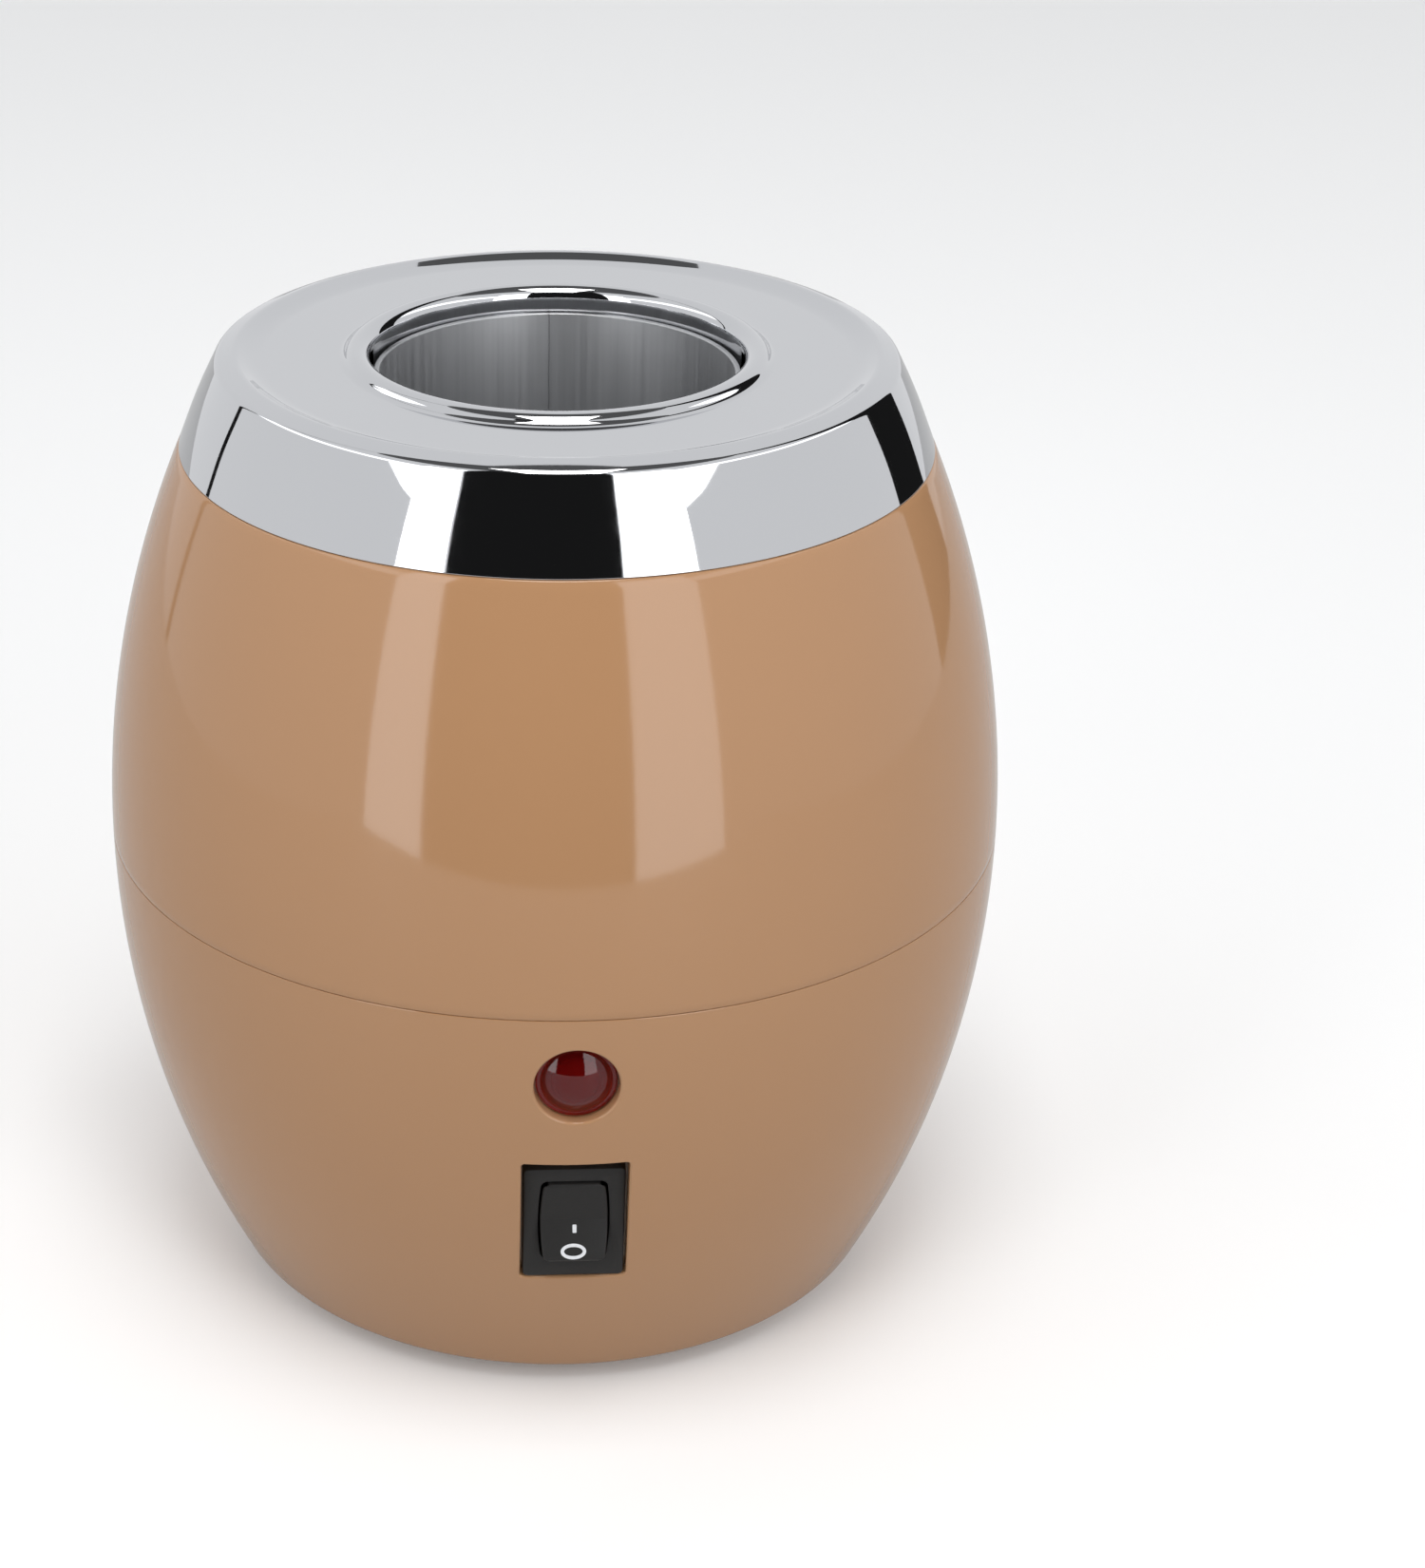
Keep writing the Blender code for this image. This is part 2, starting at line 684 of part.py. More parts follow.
def make_heater():
    """Band heater with its clamp ears and screws, and the insulation round it."""
    inner = SLEEVE_OUTER + GAP
    band = ring("heater_band", BAND_OUTER, inner, BAND_TOP, BAND_BOTTOM, MICA)
    slit = block(
        "band_slit",
        (0.0100, BAND_SLIT, 0.2000),
        None,
        location=(BAND_OUTER, 0.0, BAND_TOP / 2),
    )
    combine(band, slit, "DIFFERENCE")
    ear_length = EAR_REACH - inner - 2 * GAP
    levels = {1: BAND_BOTTOM + EAR_HEIGHT / 2, 2: BAND_TOP - EAR_HEIGHT / 2}
    for index, level in levels.items():
        for side in (-1, 1):
            ear = block(
                f"ear_{index}_{side + 1}",
                (ear_length, EAR_THICKNESS, EAR_HEIGHT),
                None,
                location=(EAR_REACH - ear_length / 2, side * (BAND_SLIT + EAR_THICKNESS) / 2, level),
            )
            combine(band, ear, "UNION")
        hole = rod(
            f"ear_hole_{index}",
            0.0017,
            0.0200,
            None,
            location=(EAR_REACH - EAR_HOLE_INSET, 0.0, level),
            rotation=FACING_FRONT,
            steps=SCREW_STEPS,
        )
        combine(band, hole, "DIFFERENCE")
        outside = BAND_SLIT / 2 + EAR_THICKNESS + GAP
        screw_piece(
            f"band_screw_{index}",
            0.0024,
            0.0016,
            SCREW_SHANK,
            0.0110,
            (EAR_REACH - EAR_HOLE_INSET, -outside, level),
            rotation=(-math.pi / 2, 0.0, 0.0),
        )
        ring(
            f"band_nut_{index}",
            0.0028,
            0.0017,
            0.0011,
            -0.0011,
            STEEL,
            steps=6,
            location=(EAR_REACH - EAR_HOLE_INSET, outside + 0.0011, level),
            rotation=FACING_FRONT,
        )
    ring("insulation_wrap", WRAP_OUTER, BAND_OUTER + GAP, WRAP_TOP, WRAP_BOTTOM, FIBRE)


def make_thermal_parts():
    """Bracket under the well, thermostat with its clip, their screws, and the thermal fuse."""
    plate_top = BASE_Z + PLATE_THICKNESS
    top_z = FLOOR_UNDERSIDE_Z - GAP - SHEET / 2
    foot_z = plate_top + GAP + SHEET / 2
    path = [(-BRACKET_FOOT_X, foot_z), (-BRACKET_LEG_X, foot_z), (-BRACKET_LEG_X, top_z)]
    path += [(-along, up) for along, up in path[::-1]]
    bracket = strip("well_bracket", path, BRACKET_WIDTH, SHEET, STEEL)
    centre_hole = rod(
        "bracket_hole",
        SCREW_HOLE,
        0.0060,
        None,
        location=(0.0, 0.0, top_z),
        steps=SCREW_STEPS,
    )
    combine(bracket, centre_hole, "DIFFERENCE")
    for index, side in ((1, -1), (2, 1)):
        foot_hole = rod(
            f"bracket_foot_hole_{index}",
            SCREW_HOLE,
            0.0060,
            None,
            location=(side * BRACKET_SCREW_X, 0.0, foot_z),
            steps=SCREW_STEPS,
        )
        combine(bracket, foot_hole, "DIFFERENCE")
        screw_piece(
            f"bracket_screw_{index}",
            0.0027,
            0.0016,
            SCREW_SHANK,
            0.0030,
            (side * BRACKET_SCREW_X, 0.0, foot_z + SHEET / 2 + GAP),
            rotation=(math.pi, 0.0, 0.0),
        )

    thermostat = turned(
        "thermostat",
        [
            (0.0, FLOOR_UNDERSIDE_Z - GAP),
            (THERMOSTAT_CAP_RADIUS, FLOOR_UNDERSIDE_Z - GAP),
            (THERMOSTAT_CAP_RADIUS, FLOOR_UNDERSIDE_Z - 0.0030),
            (THERMOSTAT_RADIUS, FLOOR_UNDERSIDE_Z - 0.0034),
            (THERMOSTAT_RADIUS, THERMOSTAT_BOTTOM),
            (0.0, THERMOSTAT_BOTTOM),
        ],
        CERAMIC,
        steps=24,
        closed=False,
        location=(0.0, THERMOSTAT_Y, 0.0),
    )
    for side in (-1, 1):
        tab = block(
            f"thermostat_tab_{side + 1}",
            (0.0008, 0.0048, TAB_HEIGHT),
            None,
            location=(side * TAB_X, THERMOSTAT_Y, THERMOSTAT_BOTTOM - TAB_HEIGHT / 2 + GAP),
        )
        combine(thermostat, tab, "UNION")
    clip_top = top_z - SHEET / 2 - GAP - CLIP_SHEET / 2
    clip_low = THERMOSTAT_BOTTOM - GAP - CLIP_SHEET / 2
    clip_path = [(-0.0050, clip_top), (0.0080, clip_top), (0.0080, clip_low), (0.0200, clip_low)]
    clip = strip(
        "thermostat_clip",
        clip_path,
        CLIP_WIDTH,
        CLIP_SHEET,
        STEEL,
        rotation=(0.0, 0.0, math.pi / 2),
    )
    clip_hole = rod(
        "clip_hole",
        SCREW_HOLE,
        0.0040,
        None,
        location=(0.0, 0.0, clip_top),
        steps=SCREW_STEPS,
    )
    combine(clip, clip_hole, "DIFFERENCE")
    head_z = clip_top - CLIP_SHEET / 2 - GAP
    screw_piece("well_screw", 0.0028, 0.0018, SCREW_SHANK, 0.0050, (0.0, 0.0, head_z))

    end, shoulder, end_radius = FUSE_HALF_LENGTH, FUSE_HALF_LENGTH - 0.0010, 0.6 * FUSE_RADIUS
    fuse_outline = [(0.0, end), (end_radius, end), (FUSE_RADIUS, shoulder), (FUSE_RADIUS, -shoulder)]
    fuse_outline += [(end_radius, -end), (0.0, -end)]
    turned(
        "thermal_fuse",
        fuse_outline,
        STEEL,
        steps=12,
        closed=False,
        location=(0.0, WRAP_OUTER + FUSE_RADIUS + 2 * GAP, FUSE_Z),
    )


# ---------------------------------------------------------------- base
def make_base():
    """Base plate with its screws and feet, and the terminal block that stands on it."""
    plate_top = BASE_Z + PLATE_THICKNESS
    radius = BASE_OPENING - GAP
    outline = [(0.0, plate_top), (radius, plate_top), (radius, BASE_Z), (0.0, BASE_Z)]
    base = turned("base_plate", outline, BLACK, closed=False)
    for index in range(4):
        angle = 45.0 + 90.0 * index
        place = on_circle(SCREW_CIRCLE, angle, BASE_Z)
        hole = rod(f"base_hole_{index + 1}", SCREW_HOLE, 0.0200, None, location=place, steps=SCREW_STEPS)
        sink = rod(f"base_sink_{index + 1}", SINK_RADIUS, 2 * SINK_DEPTH, None, location=place, steps=16)
        combine(base, hole, "DIFFERENCE")
        combine(base, sink, "DIFFERENCE")
        head_seat = BASE_Z + SINK_DEPTH - GAP
        screw_piece(
            f"base_screw_{index + 1}",
            0.0029,
            0.0018,
            SCREW_SHANK,
            0.0110,
            on_circle(SCREW_CIRCLE, angle, head_seat),
        )
        foot_place = on_circle(FOOT_CIRCLE, 90.0 * index, 0.0)
        recess = rod(
            f"foot_recess_{index + 1}",
            FOOT_RADIUS + GAP,
            2 * FOOT_RECESS,
            None,
            location=on_circle(FOOT_CIRCLE, 90.0 * index, BASE_Z),
            steps=24,
        )
        combine(base, recess, "DIFFERENCE")
        foot_top = BASE_Z + FOOT_RECESS - GAP
        turned(
            f"rubber_foot_{index + 1}",
            [
                (0.0, foot_top),
                (FOOT_RADIUS, foot_top),
                (FOOT_RADIUS - 0.0002, 0.0006),
                (FOOT_RADIUS - 0.0008, 0.0),
                (0.0, 0.0),
            ],
            RUBBER,
            steps=24,
            closed=False,
            location=foot_place,
        )
    for index, side in ((1, -1), (2, 1)):
        pilot = rod(
            f"bracket_pilot_{index}",
            SCREW_HOLE,
            0.0030,
            None,
            location=(side * BRACKET_SCREW_X, 0.0, plate_top),
            steps=SCREW_STEPS,
        )
        combine(base, pilot, "DIFFERENCE")

    terminal = block(
        "terminal_block",
        TERMINAL_BLOCK_SIZE,
        WHITE,
        location=(0.0, TERMINAL_BLOCK_Y, plate_top + GAP + TERMINAL_BLOCK_SIZE[2] / 2),
    )
    for side in (-1, 1):
        entry = rod(
            f"terminal_entry_{side + 1}",
            2 * WIRE_RADIUS,
            0.0300,
            None,
            location=(side * TERMINAL_ENTRY_X, TERMINAL_BLOCK_Y, plate_top + TERMINAL_ENTRY_RISE),
            rotation=FACING_FRONT,
            steps=SCREW_STEPS,
        )
        combine(terminal, entry, "DIFFERENCE")


def make_gland():
    """Cord gland in the rear seat, and the nut that holds it from inside."""
    front = GLAND_SEAT_Y + GAP
    outline = [
        (GLAND_BORE, 0.0028),
        (GLAND_FLANGE - 0.0016, 0.0028),
        (GLAND_FLANGE, 0.0016),
        (GLAND_FLANGE, 0.0),
        (GLAND_NECK, 0.0),
        (GLAND_NECK, -GLAND_LENGTH),
        (GLAND_BORE, -GLAND_LENGTH),
    ]
    turned(
        "cord_gland",
        outline,
        BLACK,
        steps=24,
        location=(0.0, front, GLAND_Z),
        rotation=FACING_BACK,
    )
    ring(
        "gland_nut",
        GLAND_NUT_RADIUS,
        GLAND_NECK + GAP,
        GLAND_NUT_THICKNESS / 2,
        -GLAND_NUT_THICKNESS / 2,
        BLACK,
        steps=12,
        location=(0.0, GLAND_SEAT_Y - GLAND_BOSS_LENGTH - GAP - GLAND_NUT_THICKNESS / 2, GLAND_Z),
        rotation=FACING_BACK,
    )


# ---------------------------------------------------------------- pilot lamp
def make_lamp():
    """Pilot lamp: lens in the round recess, tubular body, push nut and neon bulb."""
    dome = [(0.0, 0.0026)]
    dome += [
        (LENS_RADIUS * 0.86 * math.sin(a), 0.0016 + 0.0010 * math.cos(a))
        for a in (math.pi / 6, math.pi / 3, math.pi / 2)
    ]
    dome += [(LENS_RADIUS, 0.0015), (LENS_RADIUS, GAP), (0.0, GAP)]
    turned(
        "lamp_lens",
        dome,
        RED_LENS,
        steps=SEAT_STEPS,
        closed=False,
        location=(0.0, LAMP_SEAT_Y, LAMP_Z),
        rotation=FACING_FRONT,
    )
    ring(
        "lamp_body",
        LAMP_BODY_RADIUS,
        LAMP_BORE,
        -0.0001,
        -LAMP_LENGTH,
        WHITE,
        steps=20,
        location=(0.0, LAMP_SEAT_Y, LAMP_Z),
        rotation=FACING_FRONT,
    )
    ring(
        "lamp_push_nut",
        0.0075,
        LAMP_BODY_RADIUS + GAP,
        -0.0024,
        -0.0032,
        STEEL,
        steps=20,
        location=(0.0, LAMP_SEAT_Y, LAMP_Z),
        rotation=FACING_FRONT,
    )
    bulb = [(0.0, -0.0010), (0.0014, -0.0016), (0.0022, -0.0030), (0.0022, -0.0105), (0.0, -0.0105)]
    turned(
        "neon_bulb",
        bulb,
        GLASS,
        steps=16,
        closed=False,
        location=(0.0, LAMP_SEAT_Y, LAMP_Z),
        rotation=FACING_FRONT,
    )


# ---------------------------------------------------------------- rocker switch
def make_switch_housing():
    """Bezel and hollow body, open at the front, with pivot sockets and terminal slots."""
    housing = block(
        "switch_housing",
        (BEZEL_WIDTH, BEZEL_THICKNESS, BEZEL_HEIGHT),
        BLACK,
        location=(0.0, BEZEL_THICKNESS / 2, 0.0),
        parent=switch_frame,
    )
    body = block(
        "housing_body",
        (HOUSING_WIDTH, HOUSING_DEPTH - 0.0010, HOUSING_HEIGHT),
        None,
        location=(0.0, (HOUSING_DEPTH + 0.0010) / 2, 0.0),
        parent=switch_frame,
    )
    cavity = block(
        "housing_cavity",
        (WINDOW_WIDTH, CAVITY_DEPTH + 0.0020, WINDOW_HEIGHT),
        None,
        location=(0.0, (CAVITY_DEPTH - 0.0020) / 2, 0.0),
        parent=switch_frame,
    )
    fulcrum = block(
        "blade_fulcrum",
        FULCRUM_SIZE,
        None,
        location=(0.0, BLADE_DEPTH + 0.0008 + FULCRUM_SIZE[1] / 2, 0.0),
        parent=switch_frame,
    )
    combine(housing, body, "UNION")
    combine(housing, cavity, "DIFFERENCE")
    combine(housing, fulcrum, "UNION")
    sockets = rod(
        "pivot_sockets",
        PIN_RADIUS + GAP,
        ROCKER_WIDTH + 2 * PIN_REACH + 2 * GAP,
        None,
        location=(0.0, PIVOT_DEPTH, 0.0),
        rotation=(0.0, math.pi / 2, 0.0),
        steps=16,
        parent=switch_frame,
    )
    combine(housing, sockets, "DIFFERENCE")
    for index, side in ((1, -1), (2, 1)):
        slot = block(
            f"terminal_slot_{index}",
            (TERMINAL_SIZE[0] + 2 * GAP, 0.0100, TERMINAL_SIZE[2] + 2 * GAP),
            None,
            location=(0.0, HOUSING_DEPTH, side * TERMINAL_RISE),
            parent=switch_frame,
        )
        combine(housing, slot, "DIFFERENCE")
        block(
            f"switch_terminal_{index}",
            TERMINAL_SIZE,
            BRASS,
            location=(0.0, BLADE_DEPTH + 0.0018 + TERMINAL_SIZE[1] / 2, side * TERMINAL_RISE),
            parent=switch_frame,
        )


def rocker_outline():
    """Side view of the rocker about its hinge: two front faces meeting in a crease, round ends."""
    corner_angle = math.asin((PIVOT_DEPTH + GAP) / ROCKER_RADIUS) + ROCKER_HALF_TRAVEL
    corner_reach = ROCKER_RADIUS * math.sin(corner_angle)
    corner_height = ROCKER_RADIUS * math.cos(corner_angle)
    crease = corner_reach - corner_height * math.tan(ROCKER_HALF_TRAVEL)
    lower_angle = -math.radians(10.0)
    end = []
    for i in range(6):
        angle = corner_angle + (lower_angle - corner_angle) * i / 5
        end.append((-ROCKER_RADIUS * math.sin(angle), ROCKER_RADIUS * math.cos(angle)))
    back = [(0.0020, 0.0035)]
    upper = end + back
    lower = [(depth, -height) for depth, height in upper[::-1]]
    return [(-crease, 0.0), *upper, *lower]


def make_rocker():
    """Rocker with its hinge pins and hollow stem, and the sprung plunger in the stem."""
    to_side_view = (math.pi / 2, 0.0, math.pi / 2)
    rocker = plate(
        "switch_rocker",
        rocker_outline(),
        ROCKER_WIDTH,
        BLACK,
        rotation=to_side_view,
        parent=rocker_axis,
    )
    pins = rod(
        "rocker_pins",
        PIN_RADIUS,
        ROCKER_WIDTH + 2 * PIN_REACH,
        None,
        rotation=(0.0, math.pi / 2, 0.0),
        steps=16,
        parent=rocker_axis,
    )
    stem = rod(
        "rocker_stem",
        STEM_RADIUS,
        STEM_LENGTH,
        None,
        location=(0.0, 0.0025, 0.0),
        rotation=FACING_BACK,
        steps=16,
        parent=rocker_axis,
    )
    bore = rod(
        "stem_bore",
        STEM_BORE,
        2 * STEM_LENGTH,
        None,
        location=(0.0, 0.0025, 0.0),
        rotation=FACING_BACK,
        steps=16,
        parent=rocker_axis,
    )
    combine(rocker, pins, "UNION")
    combine(rocker, stem, "UNION")
    combine(rocker, bore, "DIFFERENCE")

    outline = [(0.0, PLUNGER_REACH)]
    outline += [
        (PLUNGER_RADIUS * math.sin(a), PLUNGER_REACH - PLUNGER_RADIUS * (1 - math.cos(a)))
        for a in (math.pi / 6, math.pi / 3, math.pi / 2)
    ]
    outline += [(PLUNGER_RADIUS, PLUNGER_FOOT), (0.0, PLUNGER_FOOT)]
    turned(
        "switch_plunger",
        outline,
        BRASS,
        steps=12,
        closed=False,
        rotation=FACING_BACK,
        parent=rocker_axis,
    )
    spring_turns = 3
    points_per_turn = 10
    spring_start = 0.0002
    spring_length = 0.0020
    spring_radius = 0.0009
    coil = []
    for i in range(spring_turns * points_per_turn + 1):
        angle = math.tau * i / points_per_turn
        along = spring_start + spring_length * i / (spring_turns * points_per_turn)
        coil.append((spring_radius * math.cos(angle), along, spring_radius * math.sin(angle)))
    spring = wire("plunger_spring", coil, 0.0002, STEEL, spacing=1.0)
    spring.parent = rocker_axis

    block(
        "contact_blade",
        BLADE_SIZE,
        BRASS,
        parent=blade_axis,
    )


# ---------------------------------------------------------------- internal wiring
def make_wires():
    """Insulated wires between terminal block, switch, thermostat, heater and lamp."""
    block_front = TERMINAL_BLOCK_Y - TERMINAL_BLOCK_SIZE[1] / 2 - GAP
    block_z = BASE_Z + PLATE_THICKNESS + TERMINAL_ENTRY_RISE
    switch_back = -0.0417
    wire(
        "wire_block_to_switch",
        [
            (-TERMINAL_ENTRY_X, block_front, block_z),
            (-0.0120, 0.0200, 0.0110),
            (-0.0120, 0.0000, 0.0110),
            (-0.0080, -0.0220, 0.0160),
            (-0.0020, -0.0330, 0.0270),
            (0.0, switch_back, 0.0307),
        ],
        WIRE_RADIUS,
        WIRE_BROWN,
    )
    wire(
        "wire_switch_to_thermostat",
        [
            (0.0, switch_back - 0.0014, 0.0393),
            (0.0050, -0.0360, 0.0350),
            (0.0100, -0.0250, 0.0230),
            (0.0110, -0.0050, 0.0180),
            (0.0100, 0.0080, 0.0150),
            (TAB_X, THERMOSTAT_Y, 0.0158),
        ],
        WIRE_RADIUS,
        WIRE_BROWN,
    )
    wire(
        "wire_thermostat_to_fuse",
        [
            (-TAB_X, THERMOSTAT_Y, 0.0158),
            (-0.0100, 0.0240, 0.0190),
            (-0.0060, 0.0360, 0.0300),
            (0.0, 0.0371, 0.0450),
            (0.0, 0.0371, FUSE_Z - 0.0059),
        ],
        WIRE_RADIUS,
        WIRE_BROWN,
    )
    wire(
        "wire_fuse_to_heater",
        [
            (0.0, 0.0371, FUSE_Z + 0.0059),
            (0.0, 0.0371, 0.0900),
            (0.0, 0.0365, 0.1080),
            (0.0, 0.0340, 0.1150),
            (0.0, BAND_OUTER + 0.0004, 0.1160),
        ],
        WIRE_RADIUS,
        WIRE_BROWN,
    )
    wire(
        "wire_heater_to_block",
        [
            (0.0, -BAND_OUTER - 0.0004, 0.1160),
            (0.0, -0.0350, 0.1140),
            (0.0070, -0.0370, 0.1000),
            (0.0220, -0.0310, 0.0700),
            (0.0330, -0.0180, 0.0400),
            (0.0360, 0.0000, 0.0200),
            (0.0260, 0.0160, 0.0120),
            (0.0100, 0.0200, block_z),
            (TERMINAL_ENTRY_X, block_front, block_z),
        ],
        WIRE_RADIUS,
        WIRE_BLUE,
    )


# ---------------------------------------------------------------- assembly
switch_frame = add_empty("switch_frame", (0.0, SWITCH_Y, SWITCH_Z), SWITCH_TILT)
rocker_axis = add_empty("rocker_axis", (0.0, PIVOT_DEPTH, 0.0), -ROCKER_HALF_TRAVEL, switch_frame)
blade_axis = add_empty("blade_axis", (0.0, BLADE_DEPTH, 0.0), BLADE_HALF_TRAVEL, switch_frame)

make_lower_shell()
make_upper_shell()
make_top_cap()
make_well()
make_heater()
make_thermal_parts()
make_base()
make_gland()
make_lamp()
make_switch_housing()
make_rocker()
make_wires()
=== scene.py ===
"""Looks of the wax warmer pot: fine surfaces, materials, a pale studio room and the camera.

The room that the chrome reflects is painted in the world by direction, with angles chosen for the
front view; the camera itself sees plain white behind the pot.
Units are metres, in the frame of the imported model: +Z up, switch towards -Y.
"""

import json
import math

import bmesh
import bpy
from mathutils import Matrix, Vector

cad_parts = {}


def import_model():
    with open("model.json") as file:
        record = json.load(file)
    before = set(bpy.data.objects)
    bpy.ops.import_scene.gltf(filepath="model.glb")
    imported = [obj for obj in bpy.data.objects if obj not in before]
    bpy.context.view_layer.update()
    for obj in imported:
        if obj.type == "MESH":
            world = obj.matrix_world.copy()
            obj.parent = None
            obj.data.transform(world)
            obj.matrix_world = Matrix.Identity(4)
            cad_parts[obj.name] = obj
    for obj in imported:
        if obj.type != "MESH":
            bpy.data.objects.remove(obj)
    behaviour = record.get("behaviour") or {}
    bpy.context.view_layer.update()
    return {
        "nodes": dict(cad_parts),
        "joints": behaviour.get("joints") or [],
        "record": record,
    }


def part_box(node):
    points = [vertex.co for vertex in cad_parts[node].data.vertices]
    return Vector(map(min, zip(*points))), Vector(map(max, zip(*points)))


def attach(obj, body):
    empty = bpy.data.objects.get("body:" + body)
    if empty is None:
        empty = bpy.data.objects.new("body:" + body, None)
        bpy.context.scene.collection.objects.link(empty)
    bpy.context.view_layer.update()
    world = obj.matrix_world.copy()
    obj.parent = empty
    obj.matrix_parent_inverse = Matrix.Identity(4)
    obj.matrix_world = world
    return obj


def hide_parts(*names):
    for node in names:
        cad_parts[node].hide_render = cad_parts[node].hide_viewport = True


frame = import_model()

MM = 0.001
FINE = 256                      # facets round the large turned pieces
MEDIUM = 96                     # facets round the small turned pieces

# ---------------------------------------------------------------- sizes read from the frame
_, lower_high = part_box("lower_shell")
upper_low, upper_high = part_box("upper_shell")
cap_low, cap_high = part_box("top_cap")
sleeve_low, sleeve_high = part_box("heating_sleeve")
floor_low, floor_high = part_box("well_floor")
plate_low, plate_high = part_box("base_plate")
bezel_low, bezel_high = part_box("switch_housing")
lens_low, lens_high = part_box("lamp_lens")
body_low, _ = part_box("lamp_body")
joint_at = {joint["name"]: Vector(joint["pos_m"]) for joint in frame["joints"]}

GAP = 0.3 * MM
SEAM_GAP = 0.09 * MM            # visible joint between two shells
SEAM_EDGE = 0.14 * MM           # rounding of the edges that meet there
BODY_RADIUS = lower_high.x
BARREL_ARC = 157.6 * MM
EQUATOR_Z = lower_high.z + GAP / 2
CAP_LINE_Z = upper_high.z + GAP / 2
BASE_Z = plate_low.z
BASE_CORNER = 4.0 * MM
BASE_OPENING = plate_high.x + GAP
WALL = 2.4 * MM
FRONT_WALL = 5.6 * MM           # lower shell's wall behind the pocket and the lamp seat
FRONT_WALL_TOP = 74.0 * MM

SWITCH_TILT = math.radians(8.5)
PIVOT_DEPTH = 1.8 * MM
ROCKER_HALF_TRAVEL = math.radians(11.0)
switch_turn = Matrix.Rotation(SWITCH_TILT, 4, "X")
rocker_pivot = joint_at["rocker_rock"]
bezel_centre = rocker_pivot - switch_turn @ Vector((0, PIVOT_DEPTH, 0))
switch_place = Matrix.Translation(bezel_centre) @ switch_turn
rocker_turn = Matrix.Rotation(SWITCH_TILT - ROCKER_HALF_TRAVEL, 4, "X")
rocker_place = Matrix.Translation(rocker_pivot) @ rocker_turn

BEZEL_WIDTH = bezel_high.x - bezel_low.x
BEZEL_HEIGHT = 21.0 * MM
BEZEL_THICKNESS = 2.0 * MM
BEZEL_DROP = 0.6 * MM           # the skin's bezel sits this much below the CAD bezel
BEZEL_SPREAD = (0.12 * MM, 0.05 * MM)   # and is this much larger in half width and half height
POCKET_WIDTH = 16.0 * MM
POCKET_HEIGHT = 24.05 * MM
POCKET_RISE = 0.67 * MM         # pocket centre above the bezel's
POCKET_FLOOR = BEZEL_THICKNESS + GAP

LAMP_RISE = 0.4 * MM            # the skin's lamp sits this much above the CAD lens
LENS_SPREAD = 0.1 * MM          # and is this much larger in radius
LAMP_CENTRE = Vector((0, lens_high.y - GAP, (lens_low.z + lens_high.z) / 2 + LAMP_RISE))
LAMP_SEAT_Y = body_low.y - 0.1 * MM
LENS_RADIUS = (lens_high.x - lens_low.x) / 2 + LENS_SPREAD
LAMP_RECESS_RADIUS = LENS_RADIUS + 0.3 * MM
LAMP_HOLE_RADIUS = 5.0 * MM

gland_low, gland_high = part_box("cord_gland")
GLAND_CENTRE_Z = (gland_low.z + gland_high.z) / 2
GLAND_FLANGE = (gland_high.x - gland_low.x) / 2
GLAND_SEAT_Y = 62.5 * MM
GLAND_BORE = 3.6 * MM


# ---------------------------------------------------------------- node materials
def new_material(name, colour, roughness, metallic=0.0, **sockets):
    """A Principled material; returns it with its node tree, its shader and a 3-D coordinate."""
    material = bpy.data.materials.new(name)
    material.use_nodes = True
    tree = material.node_tree
    shader = tree.nodes["Principled BSDF"]
    shader.inputs["Base Color"].default_value = (*colour, 1.0)
    shader.inputs["Roughness"].default_value = roughness
    shader.inputs["Metallic"].default_value = metallic
    for socket, value in sockets.items():
        shader.inputs[socket.replace("_", " ")].default_value = value
    place = tree.nodes.new("ShaderNodeTexCoord")
    return material, tree, shader, place.outputs["Object"]


def noise(tree, place, scale, detail=3.0, stretch=(1, 1, 1), roughness=0.5):
    """Noise in object space, stretched along chosen axes; gives its factor socket."""
    mapping = tree.nodes.new("ShaderNodeMapping")
    mapping.inputs["Scale"].default_value = stretch
    texture = tree.nodes.new("ShaderNodeTexNoise")
    texture.inputs["Scale"].default_value = scale
    texture.inputs["Detail"].default_value = detail
    texture.inputs["Roughness"].default_value = roughness
    tree.links.new(place, mapping.inputs["Vector"])
    tree.links.new(mapping.outputs["Vector"], texture.inputs["Vector"])
    return texture.outputs["Fac"]


def spread(tree, factor, low, high, start=0.0, end=1.0):
    """Map a factor from start..end to low..high."""
    node = tree.nodes.new("ShaderNodeMapRange")
    node.inputs["From Min"].default_value = start
    node.inputs["From Max"].default_value = end
    node.inputs["To Min"].default_value = low
    node.inputs["To Max"].default_value = high
    tree.links.new(factor, node.inputs["Value"])
    return node.outputs["Result"]


def two_tone(tree, factor, dark, light):
    """Mix two colours by a factor."""
    node = tree.nodes.new("ShaderNodeMix")
    node.data_type = "RGBA"
    node.inputs["A"].default_value = (*dark, 1.0)
    node.inputs["B"].default_value = (*light, 1.0)
    tree.links.new(factor, node.inputs["Factor"])
    return node.outputs["Result"]


def bump(tree, shader, height, depth, strength=1.0):
    """Relief of the given depth on the shader's normal."""
    node = tree.nodes.new("ShaderNodeBump")
    node.inputs["Strength"].default_value = strength
    node.inputs["Distance"].default_value = depth
    tree.links.new(height, node.inputs["Height"])
    tree.links.new(node.outputs["Normal"], shader.inputs["Normal"])


